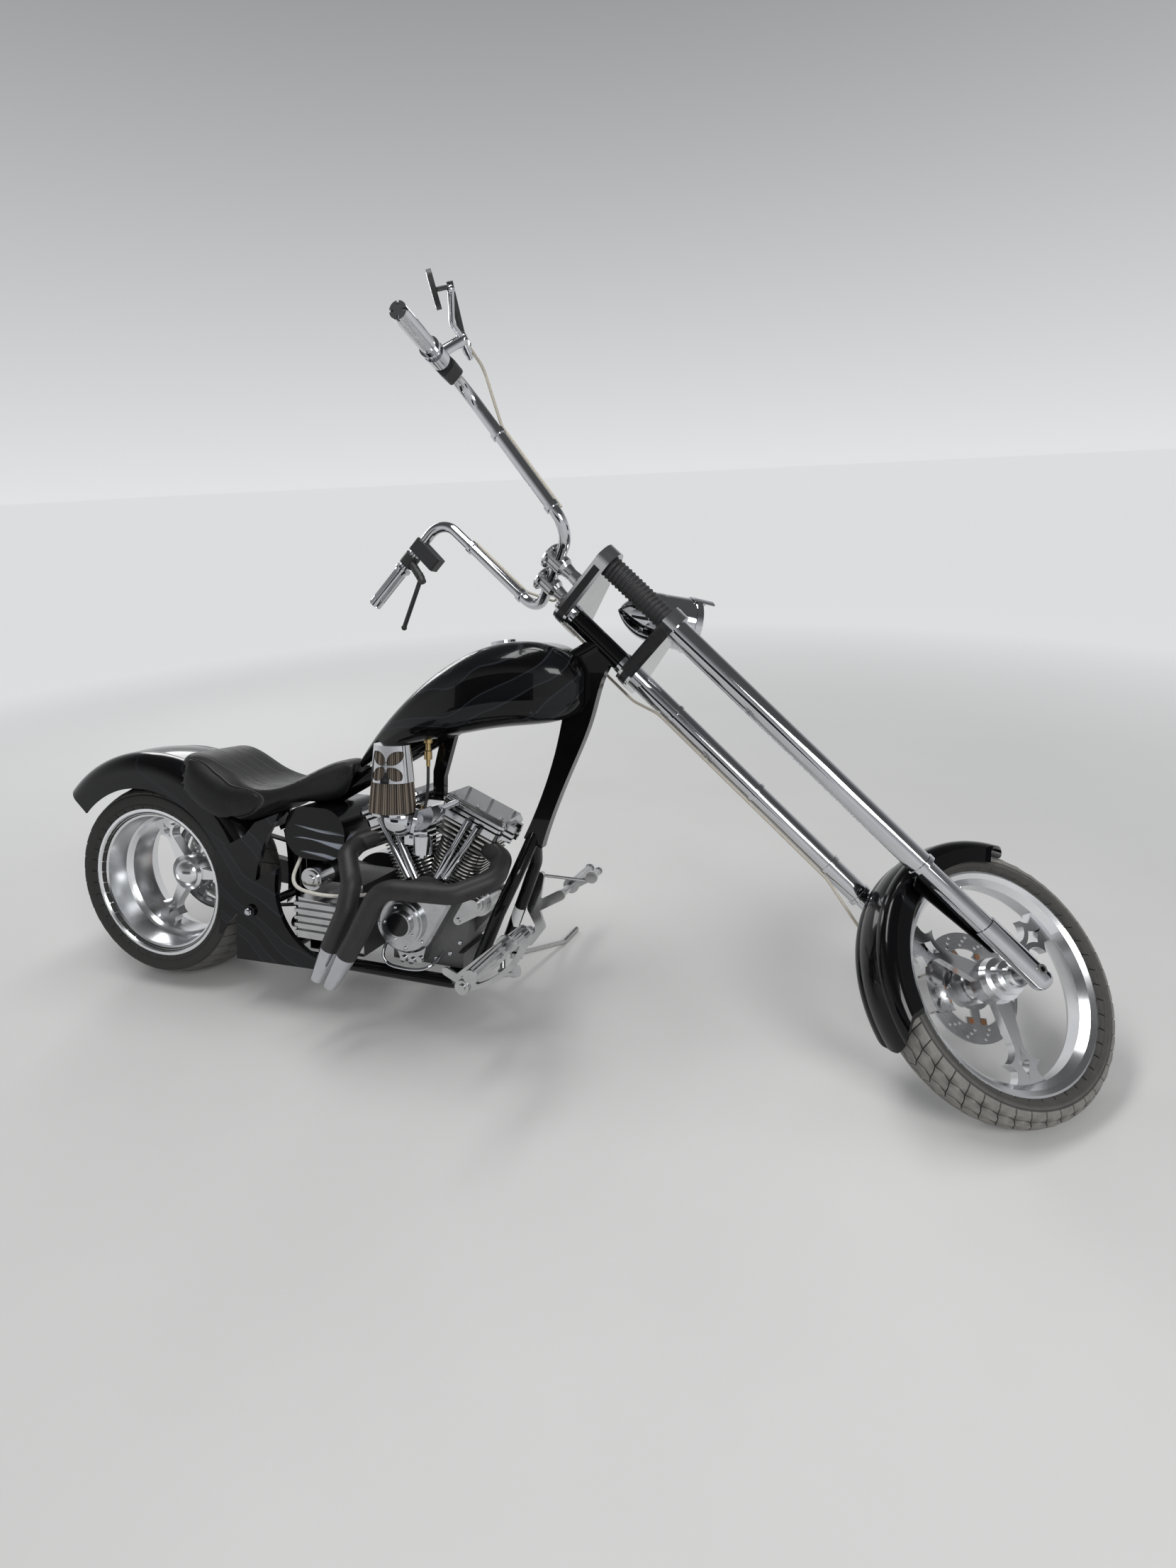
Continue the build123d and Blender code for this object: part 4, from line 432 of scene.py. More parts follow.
def bolt_circle(x, y, z, radius, angles, side):
    """Places in a circle on an upright face, from ahead over the top; side is RIGHT or LEFT."""
    return [spot(x + radius * math.cos(math.radians(a)), y, z + radius * math.sin(math.radians(a)), side, "X")
            for a in angles]


def chromed(piece, body="frame"):
    chrome.on(piece)
    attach(piece, body)


RIGHT, LEFT = 90, -90
chrome = Finish("chrome", Metallic=1.0)
breath = chrome.noise(ROOM, 14.0, 5.0, 0.6)
chrome.surface(Base_Color=chrome.mix(breath, (0.52, 0.53, 0.56), (0.66, 0.67, 0.69)),
               Roughness=0.035 + breath * 0.07)
chromed(repeated(cap_bolt("rocker_bolts", 5, 4), [
    spot(x, y, ROCKER_TOP, on=on)
    for on in (front_cylinder, rear_cylinder) for x in (-78, 0, 78) for y in (-50, 50)]))
CASE_FACE = -82
chromed(repeated(cap_bolt("crankcase_bolts", 6, 5), [
    *bolt_circle(CRANK_X, CASE_FACE, CRANK_Z, 119, (-76, -52, -28, 150, 172, 196), RIGHT),
    spot(1090, CASE_FACE, 436, RIGHT, "X"), spot(1098, CASE_FACE, 396, RIGHT, "X")]))

# Pushrod tubes, cam cover and intake: pressed and cast pieces, polished and chromed. The cover is
# held by a row of cap bolts, and so is the raised round on it, which has a plain black disc.
ROUND_X, ROUND_Z = 925, 338
DISC_FACE, DISC_RADIUS = -0.1755, 0.0335
chrome.on("pushrod_tubes", "air_elbow", "filter_cap", "bearing_cups", "tank_cap")
cover_alloy = Finish("cover_alloy", Metallic=1.0)
x, y, z = cover_alloy.along(spot(ROUND_X, 0, ROUND_Z))
disc = (y < DISC_FACE) * (distance(x, z) < DISC_RADIUS)
breath = cover_alloy.noise(ROOM, 30.0, 6.0, 0.65)
bright = cover_alloy.mix(breath, (0.34, 0.35, 0.36), (0.66, 0.67, 0.68))
cover_alloy.surface(Base_Color=cover_alloy.mix(disc, bright, (0.006, 0.006, 0.007)),
                    Metallic=1 - disc, Roughness=0.06 + breath * 0.20)
cover_alloy.on("cam_cover")
COVER_FACE, ROUND_FACE = -144, -164
chromed(repeated(cap_bolt("cam_cover_bolts", 5.5, 5), [
    *bolt_circle(ROUND_X, COVER_FACE, ROUND_Z - 2, 78, (190, 232, 274, 318), RIGHT),
    spot(1046, COVER_FACE, 422, RIGHT, "X"), spot(864, COVER_FACE, 396, RIGHT, "X")]))
chromed(repeated(cap_bolt("round_face_bolts", 4, 4),
                 bolt_circle(ROUND_X, ROUND_FACE, ROUND_Z, 49, range(36, 360, 72), RIGHT)))


# Oil lines: a bright steel pipe under the cam cover, and a pale hose from the oil drum that loops
# over the gearbox to the crankcase. Both are held at their two ends.
def pipe(name, points, radius):
    """A round pipe or hose along one smooth line through places in millimetres."""
    curve = bpy.data.curves.new(name, "CURVE")
    curve.dimensions, curve.bevel_depth, curve.bevel_resolution = "3D", radius / 1000, 3
    curve.use_fill_caps, curve.resolution_u = True, 8
    line = curve.splines.new("NURBS")
    line.points.add(len(points) - 1)
    for point, place in zip(line.points, points):
        point.co = (*(bike_axes @ (Vector(place) / 1000)), 1)
    line.order_u, line.use_endpoint_u = 4, True
    run = bpy.data.objects.new(name, curve)
    scene.collection.objects.link(run)
    bpy.ops.object.select_all(action="DESELECT")
    run.select_set(True)
    bpy.context.view_layer.objects.active = run
    bpy.ops.object.convert(target="MESH")
    return run


chromed(pipe("drain_pipe", (
    (842, -78, 262), (838, -128, 226), (862, -146, 199), (920, -148, 197), (985, -148, 198),
    (1016, -136, 214), (1020, -76, 236)), radius=5))
feed_hose = pipe("feed_hose", (
    (548, -92, 492), (546, -100, 466), (556, -152, 440), (596, -198, 415), (660, -204, 408),
    (724, -200, 404), (790, -160, 404), (826, -112, 400), (850, -72, 398)), radius=5.5)
hose_finish = Finish("pale_hose")
bloom = hose_finish.noise(ROOM, 90.0, 5.0)
hose_finish.surface(Base_Color=hose_finish.mix(bloom, (0.44, 0.42, 0.37), (0.66, 0.64, 0.58)),
                    Roughness=0.30 + bloom * 0.2)
hose_finish.on(feed_hose)
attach(feed_hose, "frame")

# Fuel tap and jets: turned brass, the tap screwed into the tank's underside behind the filter and
# the jets into the carburettor, with a black rubber line pushed on between them.
fuel_tap = turned("fuel_tap", (
    (14, -14), (14, 12), (8, 14), (8, 34), (11.5, 36), (11.5, 60), (6, 62), (6, 80)), 12)
fuel_tap.data.transform(spot(955, -52, 862, 180, "X"))
jet = turned("carburettor_jets", ((6, -3), (6, 7), (4, 8), (4, 16), (7, 17), (7, 22), (5, 23)), 12)
jets = repeated(jet, [spot(986, -146, 654), spot(948, -142, 654), spot(968, -104, 654)])
brass = Finish("worn_brass", Metallic=1.0)
age = brass.noise(ROOM, 160.0, 5.0)
brass.surface(Base_Color=brass.mix(age, (0.30, 0.20, 0.08), (0.66, 0.50, 0.25)), Roughness=0.22 + age * 0.2)
brass.on(fuel_tap, jets)
fuel_line = pipe("fuel_line", (
    (955, -52, 786), (956, -54, 752), (972, -84, 712), (980, -112, 690), (978, -120, 650)), radius=4.5)
line_rubber = Finish("black_line")
dull = line_rubber.noise(ROOM, 140.0, 4.0)
line_rubber.surface(Base_Color=line_rubber.mix(dull, (0.008, 0.008, 0.008), (0.03, 0.03, 0.03)),
                    Roughness=0.42 + dull * 0.2)
line_rubber.on(fuel_line)
for piece, slot in ((fuel_tap, "polished_alloy"), (jets, "polished_alloy"), (fuel_line, "belt_rubber")):
    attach(piece, "frame")


# Label and pivot bolt: a blank white paper label wrapped round the left leg of the cradle, open
# at the back, and the chromed bolt at the swingarm's pivot.
def pick(kind, test):
    """In edit mode, leaves selected only the vertices or faces whose place passes the test."""
    bpy.ops.mesh.select_mode(type={"verts": "VERT", "faces": "FACE"}[kind])
    bpy.ops.mesh.select_all(action="DESELECT")
    mesh = bmesh.from_edit_mesh(bpy.context.object.data)
    for part in getattr(mesh, kind):
        if test(part.co if kind == "verts" else part.calc_center_median()):
            part.select_set(True)
    bmesh.update_edit_mesh(bpy.context.object.data)


def apply(piece, kind, **settings):
    modifier = piece.modifiers.new(kind.lower(), kind)
    for key, value in settings.items():
        setattr(modifier, key, value)
    bpy.context.view_layer.objects.active = piece
    bpy.ops.object.modifier_apply(modifier=modifier.name)


LABEL_FOOT, LABEL_WAY = (1.1659, 0.1130, 0.2788), (0.327, -0.106, 0.939)
LABEL_RADIUS, LABEL_HEIGHT, OPEN_FROM = 0.0194, 0.064, -0.008
PAPER_THICKNESS = 0.0005
leg = Vector(LABEL_WAY).normalized()
leg_side = (Vector((0, 1, 0)) - leg * leg.y).normalized()
leg_axes = bike_axes @ axes(LABEL_FOOT, leg_side.cross(leg), leg_side, leg)
bpy.ops.object.select_all(action="DESELECT")
bpy.ops.mesh.primitive_circle_add(vertices=48, radius=LABEL_RADIUS, fill_type="NOTHING")
label = bpy.context.object
label.name = "paper_label"
bpy.ops.object.mode_set(mode="EDIT")
pick("verts", lambda co: co.y > OPEN_FROM)
bpy.ops.mesh.delete(type="VERT")
bpy.ops.mesh.select_all(action="SELECT")
bpy.ops.mesh.extrude_region_move(TRANSFORM_OT_translate={"value": (0, 0, LABEL_HEIGHT)})
bpy.ops.object.mode_set(mode="OBJECT")
apply(label, "SOLIDIFY", thickness=PAPER_THICKNESS, offset=0)
label.data.transform(leg_axes)
paper = Finish("white_paper")
grime = paper.noise(ROOM, 120.0, 5.0)
paper.surface(Base_Color=paper.mix(grime, (0.60, 0.61, 0.62), (0.80, 0.80, 0.80)),
              Roughness=0.5 + grime * 0.2)
paper.on(label)
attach(label, "frame")
pivot_bolt = turned("pivot_bolt", ((12, -2), (12, 3), (9, 3.4), (9, 9), (7.5, 10.5)), 6)
pivot_bolt.data.transform(spot(403, -164, 304, RIGHT, "X"))
chromed(pivot_bolt)

# Air filter: pleated cotton cloth round a tapered cage, dusty brown grey on its pleats, with painted
# shade darkening the valleys between them, clamped upright on the intake elbow.
PLEATS = 60
filter_cloth = Finish("pleated_cloth", Roughness=0.85)
x, y, _ = filter_cloth.along(spot(922, -190, 675))
fold = (y.math("ARCTAN2", x) * PLEATS).math("SINE") * 0.5 + 0.5
weave = filter_cloth.noise(ROOM, 900.0, 2.0)
dusty = filter_cloth.mix(weave, (0.20, 0.165, 0.13), (0.32, 0.27, 0.22))
# Painted shade: the valleys between the pleats are coloured dark brown, the crests dusty brown grey.
filter_cloth.surface(Base_Color=filter_cloth.mix(fold, (0.035, 0.026, 0.020), dusty),
                     Normal=filter_cloth.relief(fold + weave * 0.15, 0.003))
filter_cloth.on("air_filter")

# Exhausts: mild steel tube in a satin dark grey heat coating with a fine speckle, under
# slash-cut chrome tips whose bores are painted near black inside as shade.
coating = Finish("heat_coating", Metallic=0.2, Specular_IOR_Level=0.4)
speckle = coating.cells(ROOM, 520.0)
blotch = coating.noise(ROOM, 25.0, 5.0)
flecks = (speckle < 0.22) * 0.5 + blotch * 0.3
coating.surface(Base_Color=coating.mix(flecks, (0.018, 0.017, 0.018), (0.10, 0.095, 0.093)),
                Roughness=0.36 + blotch * 0.2, Normal=coating.relief(speckle, 0.0005, 0.5))
coating.on("exhaust_front", "exhaust_rear")

BORE_RADIUS, BORE_TAPER = 0.0262, 0.08
BETWEEN_TIPS = 0.752
tips = Finish("tip_chrome", Metallic=1.0)
dull = tips.noise(ROOM, 20.0, 5.0)
bores = []
# Columns: each tip's foot in millimetres, and the way that it points
for foot, way in (((820, -272, 268), (-28, 0, -50)), ((743, -236, 266), (-25, 0, -54))):
    x, y, z = tips.along(spot(*foot, math.degrees(math.atan2(way[0], way[2]))))
    bores.append(distance(x, y) < BORE_RADIUS - z * BORE_TAPER)
ahead = tips.along(bike_axes)[0]
# Painted shade: the inside of each tip's bore is coloured near black and dull.
bore_shade = bores[0] * (ahead > BETWEEN_TIPS) + bores[1] * (ahead < BETWEEN_TIPS)
bright = tips.mix(dull, (0.46, 0.47, 0.50), (0.64, 0.65, 0.68))
tips.surface(Base_Color=tips.mix(bore_shade, bright, (0.008, 0.007, 0.006)),
             Metallic=1 - bore_shade * 0.9, Roughness=0.05 + dull * 0.08 + bore_shade * 0.5)
tips.on("exhaust_tips")

# Regulator, pulley, front caliper, controls and risers: aluminium, machined in steps and polished
# by hand, so it is bright and a little uneven.
polished = Finish("polished_alloy", Metallic=1.0)
buffing = polished.noise(ROOM, 22.0, 6.0, 0.65)
scratches = polished.noise(ROOM @ Matrix.Rotation(0.6, 4, "Y"), 260.0, 2.0)
polished.surface(Base_Color=polished.mix(buffing, (0.38, 0.38, 0.39), (0.66, 0.66, 0.66)),
                 Roughness=0.10 + buffing * 0.12 + scratches * 0.05)
polished.on("regulator", "rear_pulley", "front_caliper", "right_control", "left_control", "risers")

# Gearbox and primary drive: cast aluminium, polished where it shows and left rough as cast on the
# inner sides, between the parts, whose colour is painted near black as shade. Cap bolts hold the
# drive's outer cover, round its two pulleys and between them.
INNER_SIDES, DRIVE_INSIDE = (-0.099, 0.165), 0.1
case_alloy = Finish("half_polished_alloy", Metallic=1.0)
y = case_alloy.along(bike_axes)[1]
turned_inwards = (case_alloy.facing(rear_axle) < -0.5) * (y > DRIVE_INSIDE)
# Painted shade: the inner sides, which face in between the parts, are coloured near black.
rough_and_shaded = (y.between(*INNER_SIDES) + turned_inwards).limited()
buffing = case_alloy.noise(ROOM, 22.0, 6.0, 0.65)
bright = case_alloy.mix(buffing, (0.38, 0.38, 0.39), (0.68, 0.68, 0.68))
dark = case_alloy.mix(buffing, (0.020, 0.020, 0.021), (0.055, 0.055, 0.057))
case_alloy.surface(Base_Color=case_alloy.mix(rough_and_shaded, bright, dark), Metallic=1 - rough_and_shaded * 0.6,
                   Roughness=0.10 + buffing * 0.12 + rough_and_shaded * 0.3)
case_alloy.on("transmission", "primary_drive")
DRIVE_FACE, CLUTCH_X = 232, 668
chromed(repeated(cap_bolt("primary_drive_bolts", 5, 4), [
    *bolt_circle(CRANK_X, DRIVE_FACE, CRANK_Z, 82, (-60, 0, 60), LEFT),
    *bolt_circle(CLUTCH_X, DRIVE_FACE, CRANK_Z, 97, (110, 155, 205, 250), LEFT),
    spot(820, DRIVE_FACE, 419, LEFT, "X"), spot(820, DRIVE_FACE, 241, LEFT, "X")]))

# Axles, spindle and side stand: bare turned steel rod, lightly brushed. The axle is clamped in the
# fork's feet, and the stand swings on a lug of the cradle.
steel = Finish("bare_steel", Metallic=1.0)
brushing = steel.noise(ROOM, 140.0, 5.0)
steel.surface(Base_Color=steel.mix(brushing, (0.42, 0.42, 0.41), (0.64, 0.64, 0.63)),
              Roughness=0.22 + brushing * 0.16)
steel.on("front_axle", "rear_spindle", "side_stand")

# Wheels: cut from solid aluminium with three pointed spokes each, then polished, and a little
# hazed with wear.
polished_wheel = Finish("mirror_alloy", Metallic=1.0)
haze = polished_wheel.noise(ROOM, 9.0, 6.0, 0.6)
polished_wheel.surface(Base_Color=polished_wheel.mix(haze, (0.72, 0.73, 0.75), (0.86, 0.87, 0.88)),
                       Roughness=0.14 + haze * 0.12)
polished_wheel.on("front_wheel", "rear_wheel")


# Tyres: moulded rubber, grey with road dust and wear on the tread blocks, and darker down in the
# grooves with painted shade.
# One pitch of each tread is modelled and repeated round the wheel.
def across(size, angle):
    """How far from the tyre's middle a place on the crown lies."""
    return size.crown_radius * math.sin(math.radians(angle))


def tread_pitch(name, size):
    """One pitch of the tyre round its own Y: a strip from bead to bead, with a row of raised blocks."""
    groove_wall, block_edge = 0.0016, 0.0007
    first_rise, last_rise = (size.depth - 0.5) / 1000, 0.0004
    top = [(across(size, a), size.crown_middle + size.crown_radius * math.cos(math.radians(a)))
           for a in size.crown]
    rows = [(-y, radius) for y, radius in size.wall] + top + list(reversed(size.wall))
    bpy.ops.object.select_all(action="DESELECT")
    bpy.ops.mesh.primitive_grid_add(x_subdivisions=2, y_subdivisions=len(rows) - 1, size=2)
    model = bpy.context.object
    model.name = name
    bpy.ops.object.mode_set(mode="EDIT")
    for index, (y, radius) in enumerate(rows):
        flat = -1 + 2 * index / (len(rows) - 1)
        pick("verts", lambda co: abs(co.z) < 1e-6 and abs(co.y - flat) < 1e-5)
        bpy.ops.transform.translate(value=(0, y / 1000 - flat, radius / 1000))
    grooves = [across(size, a) for a in size.bands[1:-1]]
    mesh = bmesh.from_edit_mesh(model.data)
    for vertex in mesh.verts:
        column, y = round(vertex.co.x), vertex.co.y * 1000
        swing = 180 / size.pitches * column + size.slant * min(abs(y), top[-1][0])
        if any(abs(y - groove) < 0.01 for groove in grooves):
            y += size.zigzag * (1 if column else -1)
        vertex.co = Matrix.Rotation(math.radians(swing), 3, "Y") @ Vector((0, y / 1000, vertex.co.z))
    bmesh.update_edit_mesh(model.data)
    edges = [across(size, a) / 1000 for a in size.bands]
    for low, high in zip(edges, edges[1:]):
        pick("faces", lambda co: low + 1e-4 < co.y < high - 1e-4
             and math.hypot(co.x, co.z) > size.crown_middle / 1000)
        bpy.ops.mesh.inset(thickness=groove_wall, depth=first_rise)
        bpy.ops.mesh.inset(thickness=block_edge, depth=last_rise)
    bpy.ops.object.mode_set(mode="OBJECT")
    return model


def tyre(name, size, grey, wheel_axes):
    """The pitches joined into a ring, with the blocks' tops drawn back to one round crown."""
    ring = repeated(tread_pitch(name, size), [
        Matrix.Rotation(2 * math.pi * index / size.pitches, 4, "Y") for index in range(size.pitches)])
    bpy.ops.object.mode_set(mode="EDIT")
    bpy.ops.mesh.select_all(action="SELECT")
    bpy.ops.mesh.remove_doubles(threshold=0.00005)
    bpy.ops.mesh.normals_make_consistent(inside=False)
    bpy.ops.object.mode_set(mode="OBJECT")
    bpy.ops.object.shade_smooth_by_angle(angle=math.radians(30))
    middle, block_top = size.crown_middle / 1000, (size.crown_radius + size.depth) / 1000
    for vertex in ring.data.vertices:
        out = math.hypot(vertex.co.x, vertex.co.z)
        tall = math.hypot(vertex.co.y, out - middle)
        if tall > block_top and out > middle:
            inward = block_top / tall
            slim = (middle + (out - middle) * inward) / out
            vertex.co = (vertex.co.x * slim, vertex.co.y * inward, vertex.co.z * slim)
    ring.data.transform(wheel_axes)
    rubber = Finish(name + "_rubber")
    x, y, z = rubber.along(wheel_axes)
    # Painted shade: the rubber darkens down into the grooves; the blocks' tops are greyer with wear and road
    # dust.
    wear_and_groove_shade = ((distance(y, distance(x, z) - middle) - size.crown_radius / 1000) / (size.depth / 1000)).limited()
    dust = rubber.noise(ROOM, 35.0, 6.0, 0.7)
    rubber.surface(
        Base_Color=rubber.mix((0.22 + wear_and_groove_shade * 0.78) * (0.35 + dust * 0.8), (0.006, 0.006, 0.006), grey),
        Roughness=0.62 + dust * 0.25, Normal=rubber.relief(dust, 0.0006, 0.4))
    rubber.on(ring)
    return ring


# In millimetres and degrees: wall is (y, radius) from the rim's middle over the bead and up the
# side, and crown and bands are angles across the tread, bands the edges of the rows of blocks.
front_size = SimpleNamespace(
    wall=((0, 268), (35.5, 268), (35.5, 285), (46, 286), (55, 291), (59, 299), (58.4, 305)),
    crown=(-66, -53, -40, -26, -13, 0, 13, 26, 40, 53, 66), crown_radius=60.5, crown_middle=285,
    bands=(-66, -40, -13, 13, 40, 66), zigzag=3.6, slant=0.12, pitches=46, depth=4.3)
rear_size = SimpleNamespace(
    wall=((0, 230), (105.5, 230), (105.5, 247), (114, 250), (121, 262), (124.4, 280), (122.5, 290)),
    crown=(-30, -24, -17, -10, -3.5, 0, 3.5, 10, 17, 24, 30), crown_radius=235.5, crown_middle=90,
    bands=(-30, -17, -3.5, 3.5, 17, 30), zigzag=5.0, slant=0.06, pitches=40, depth=4.3)
front_tread = tyre("front_tread", front_size, (0.30, 0.29, 0.27), front_wheel_axes)
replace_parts(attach(front_tread, "front_wheel"), "front_tyre")
rear_tread = tyre("rear_tread", rear_size, (0.12, 0.117, 0.11), rear_wheel_axes)
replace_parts(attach(rear_tread, "rear_wheel"), "rear_tyre")

# Valves: chromed stems screwed into the rims' barrels, between two spokes, with a cap on each.
# Columns of the loop: the body, its axes, the barrel's radius, the turn round the wheel
for body, on, radius, turn in (("front_wheel", front_wheel_axes, 251, -101),
                               ("rear_wheel", rear_wheel_axes, 199, -60)):
    stem = turned(body + "_valve", ((5, -2), (5, 3), (3, 4), (3, 22), (4, 22.5), (4, 30), (3, 31.5)), 12)
    round_the_wheel = on @ Matrix.Rotation(math.radians(turn), 4, "Y")
    stem.data.transform(spot(radius, 0, 0, -90, "Y", round_the_wheel))
    chromed(stem, body)

# Brake discs: drilled stainless bands, ground in fine rings, that float on bobbins with copper
# washers; five cap bolts hold each carrier to its hub.
BOBBIN_CIRCLE, BOBBIN_SHIFT, BOBBIN_FACE = 89, 19, 4.2
CARRIER_CIRCLE, CARRIER_FACE = 52, 3
# Columns: the wheel's end, its axes, the disc's distance from the middle, the side of its bolts
for end, on, disc_y, bolt_side in (("front", front_wheel_axes, 80, 1),
                                   ("rear", rear_wheel_axes, 178, -1)):
    ground = Finish(f"ground_{end}_disc", Metallic=1.0)
    x, _, z = ground.along(on)
    rings = ground.add("ShaderNodeTexNoise", {"noise_dimensions": "1D"},
                       {"W": distance(x, z), "Scale": 900.0, "Detail": 3.0})
    ground.surface(Base_Color=ground.mix(rings, (0.36, 0.36, 0.37), (0.66, 0.66, 0.67)),
                   Roughness=0.20 + rings * 0.16)
    ground.on(end + "_disc")
    arms = [on @ Matrix.Rotation(math.radians(90 + 72 * index), 4, "Y") for index in range(5)]
    washers = [spot(BOBBIN_CIRCLE, disc_y + side * BOBBIN_FACE, shift, -90 * side, "X", arm)
               for side in (-1, 1) for arm in arms for shift in (-BOBBIN_SHIFT, BOBBIN_SHIFT)]
    bolts = [spot(CARRIER_CIRCLE, disc_y + bolt_side * CARRIER_FACE, 0, -90 * bolt_side, "X", arm)
             for arm in arms]
    copper = Finish("copper_" + end, Metallic=1.0)
    tarnish = copper.noise(ROOM, 300.0, 3.0)
    copper.surface(Base_Color=copper.mix(tarnish, (0.42, 0.20, 0.11), (0.62, 0.34, 0.20)),
                   Roughness=0.25 + tarnish * 0.2)
    washer = turned(end + "_bobbin_washers", ((8.4, 0), (8.4, 1.0), (6.2, 1.0), (5.6, 0.5)), 16)
    washer_rings = repeated(washer, washers)
    copper.on(washer_rings)
    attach(washer_rings, end + "_wheel")
    chromed(repeated(cap_bolt(end + "_carrier_bolts", 4.5, 4), bolts), end + "_wheel")

# Drive belt: moulded black rubber with a fine cord grain, run on the left from the gearbox to the
# rear pulley.
belt_rubber = Finish("black_rubber")
cord_grain = belt_rubber.noise(ROOM, 300.0, 4.0)
belt_rubber.surface(Base_Color=belt_rubber.mix(cord_grain, (0.014, 0.014, 0.014), (0.035, 0.034, 0.033)),
                    Roughness=0.6 + cord_grain * 0.2, Normal=belt_rubber.relief(cord_grain, 0.0005, 0.4))
belt_rubber.on("drive_belt")

# Fork: chromed covers, legs, bar and headlight, and two polished trees whose recessed waists between
# the legs are darkened with painted shade.
LEG_Y, BOSS_RADIUS = 0.130, 0.046
LOWER_WAIST, UPPER_WAIST = (1.2165, 1.2375), (1.4555, 1.4765)
chrome.on("fork_leg_right", "fork_leg_left", "fork_covers", "handlebar", "grips", "headlight")
tree_alloy = Finish("waisted_tree_alloy")
x, y, z = tree_alloy.along(fork_axes)
# Painted shade: the trees' recessed waists, between the leg bosses, are coloured near black.
waist_shade = ((z.between(*LOWER_WAIST) + z.between(*UPPER_WAIST))
         * (distance(x - TREE_OFFSET, abs(y) - LEG_Y) > BOSS_RADIUS))
buffing = tree_alloy.noise(ROOM, 22.0, 6.0, 0.65)
bright = tree_alloy.mix(buffing, (0.56, 0.56, 0.57), (0.72, 0.72, 0.72))
tree_alloy.surface(Base_Color=tree_alloy.mix(waist_shade, bright, (0.015, 0.015, 0.016)), Metallic=1 - waist_shade * 0.8,
                   Roughness=0.08 + buffing * 0.08 + waist_shade * 0.25)
tree_alloy.on("lower_tree", "top_tree")

# Loom wrap, switch boxes and mirror case: black tape wound round the tubes between the trees, and
# moulded black housings clamped to the bar.
TAPE_PITCH = 0.0032
wrap = Finish("wound_black_tape")
ridges = wrap.along(fork_axes)[2].ridges(TAPE_PITCH)
scuff = wrap.noise(ROOM, 120.0, 5.0)
# Painted shade: the tape is coloured darker down between its turns and lighter on their ridges, mixed with
# scuffs.
wrap.surface(Base_Color=wrap.mix(ridges * 0.5 + scuff * 0.5, (0.010, 0.010, 0.011), (0.045, 0.045, 0.048)),
             Roughness=0.42 + scuff * 0.25, Normal=wrap.relief(ridges, 0.0018, 0.8))
wrap.on("upper_covers")
moulded = Finish("moulded_black")
pebble = moulded.cells(ROOM, 700.0)
moulded.surface(Base_Color=moulded.mix(pebble, (0.010, 0.010, 0.011), (0.030, 0.030, 0.032)),
                Roughness=0.38 + pebble * 0.2, Normal=moulded.relief(pebble, 0.0004, 0.6))
moulded.on("switch_boxes", "side_mirror")

# Levers: cast aluminium, polished and chromed on the right, black coated on the left, each on a
# pin in its clamp.
chrome.on("brake_lever")
moulded.on("clutch_lever")

# Brake and clutch lines: pale braided hose under a clear cover, held by bands along the bar and
# down the left leg.
braid = Finish("pale_braid")
plait = braid.cells(ROOM, 520.0)
braid.surface(Base_Color=braid.mix(plait, (0.40, 0.36, 0.28), (0.66, 0.62, 0.54)),
              Roughness=0.32 + plait * 0.2, Normal=braid.relief(plait, 0.0006, 0.6))
braid.on("hoses")

# Headlight lens: pressed glass with upright flutes, domed a little and set in the shell's rim,
# square to the road.
FLUTE_PITCH = 0.0045
lens_axes = spot(215, 0, 1275, math.degrees(RAKE), "Y", fork_axes)
lens = turned("headlight_lens", (
    (73, 79.5), (73, 81), (62, 86), (46, 90), (30, 92.5), (14, 93.6), (3, 93.9)), 64)
lens.data.transform(lens_axes @ Matrix.Rotation(math.radians(90), 4, "Y"))
glass = Finish("fluted_glass", IOR=1.5, Coat_Weight=0.6, Coat_Roughness=0.03)
flutes = glass.along(lens_axes)[1].ridges(FLUTE_PITCH)
# Painted highlights: the glass is coloured in light and dark bands along its flutes.
glass.surface(Base_Color=glass.mix(flutes, (0.50, 0.53, 0.55), (0.82, 0.84, 0.86)),
              Metallic=0.55 + flutes * 0.2, Roughness=0.08 + flutes * 0.06,
              Normal=glass.relief(flutes, 0.0025, 0.8))
glass.on(lens)
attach(lens, "fork")

# Mirror glass: an oval of silvered glass glued into the face of the case, and turned to the
# rider's eyes.
MIRROR_PLACE, OVAL = (0.022, -0.468, 2.100), 0.68
facing = Vector((-0.793, 0.373, 0.483)).normalized()
stem_way = Vector((0.296, 0.861, -0.18))
long_way = (stem_way - facing * facing.dot(stem_way)).normalized()
glass_axes = fork_axes @ axes(MIRROR_PLACE, long_way, facing.cross(long_way), facing)
mirror_glass = turned("mirror_glass", ((40, 5), (40, 6.4), (39, 6.9), (36, 7.1)), 48)
mirror_glass.data.transform(glass_axes @ Matrix.Diagonal((1, OVAL, 1, 1)))
silvered = Finish("silvered_glass", Metallic=1.0)
smudge = silvered.noise(ROOM, 40.0, 5.0)
silvered.surface(Base_Color=silvered.mix(smudge, (0.70, 0.72, 0.74), (0.78, 0.80, 0.81)),
                 Roughness=0.02 + smudge * 0.03)
silvered.on(mirror_glass)
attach(mirror_glass, "fork")

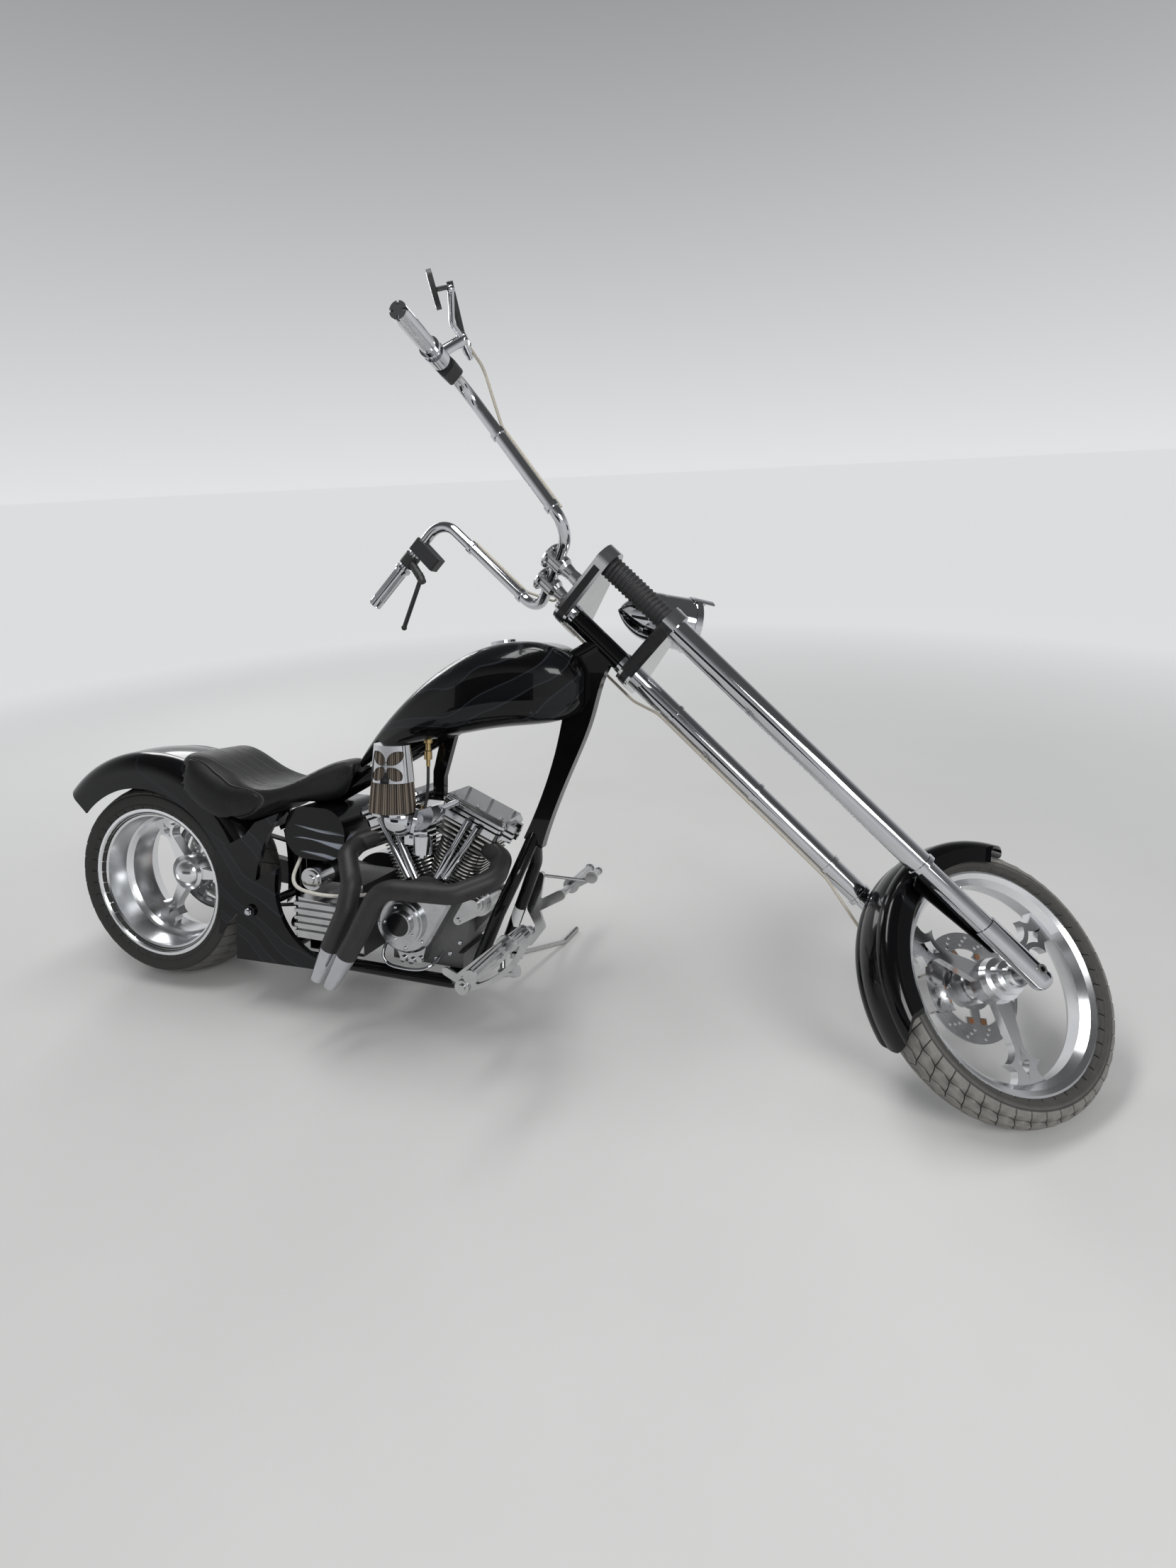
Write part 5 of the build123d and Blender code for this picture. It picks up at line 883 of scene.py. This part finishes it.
# Seat: moulded foam under black leather, pulled over the rear hump, with a flame shape stitched
# into it. The cushion swells a little between its edges under its own filling.
SWELL, CLOTH_STEPS = 0.004, 20
cushion = bpy.data.objects.new("seat_cushion", nodes["seat"].data.copy())
scene.collection.objects.link(cushion)
bpy.ops.object.select_all(action="DESELECT")
cushion.select_set(True)
bpy.context.view_layer.objects.active = cushion
bpy.ops.object.mode_set(mode="EDIT")
bpy.ops.mesh.select_all(action="SELECT")
bpy.ops.mesh.remove_doubles(threshold=0.00005)
bpy.ops.object.mode_set(mode="OBJECT")
apply(cushion, "REMESH", mode="VOXEL", voxel_size=0.0055)
apply(cushion, "SMOOTH", factor=0.5, iterations=6)
sewn = [vertex.co.copy() for vertex in cushion.data.vertices]
cloth = cushion.modifiers.new("cloth", "CLOTH")
cloth.settings.quality = 4
cloth.settings.use_pressure = True
cloth.settings.uniform_pressure_force = 4
cloth.settings.effector_weights.gravity = 0
for step in range(1, CLOTH_STEPS + 1):
    scene.frame_set(step)
bpy.ops.object.modifier_apply(modifier=cloth.name)
scene.frame_set(1)
for vertex, before in zip(cushion.data.vertices, sewn):
    move = vertex.co - before
    if move.length > SWELL:
        vertex.co = before + move * (SWELL / move.length)
apply(cushion, "SUBSURF", levels=1, render_levels=1)
bpy.ops.object.shade_smooth()

FLAME_BACK, FLAME_FRONT, FLAME_TIP = 0.15, 0.55, 0.56
FLAME_LENGTH, FLAME_HALF_WIDTH = 0.34, 0.026
ROW_GAP, SEAM_WIDTH = 0.040, 0.0022
STITCH_SHIFT, THREAD, STITCH_PITCH, STITCH_GAP = 0.0035, 0.0009, 0.003, 0.0011
leather = Finish("stitched_leather", Specular_IOR_Level=0.32)
x, y, _ = leather.along(bike_axes)
sway = leather.noise(bike_axes, 7.0, 1.0) - 0.5
row = (y + sway * 0.05).math("PINGPONG", ROW_GAP)
width = ((FLAME_TIP - x) / FLAME_LENGTH).limited() * FLAME_HALF_WIDTH
on_the_flame = x.between(FLAME_BACK, FLAME_FRONT)
seam = (1 - abs(row - width) / SEAM_WIDTH).limited() * on_the_flame
stitch = ((abs(row - width - STITCH_SHIFT) < THREAD) * (x.math("PINGPONG", STITCH_PITCH) > STITCH_GAP)
          * on_the_flame)
pores = leather.cells(ROOM, 420.0)
crease = leather.noise(ROOM, 26.0, 6.0, 0.65)
hide = leather.mix(crease, (0.004, 0.004, 0.0045), (0.013, 0.013, 0.014))
leather.surface(Base_Color=leather.mix(stitch, hide, (0.075, 0.075, 0.08)),
                Roughness=0.32 + crease * 0.18 + pores * 0.1,
                Normal=leather.relief(pores * 0.12 + crease * 0.5 - seam * 1.3, 0.0022, 0.8))
leather.on(cushion)
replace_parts(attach(cushion, "frame"), "seat")
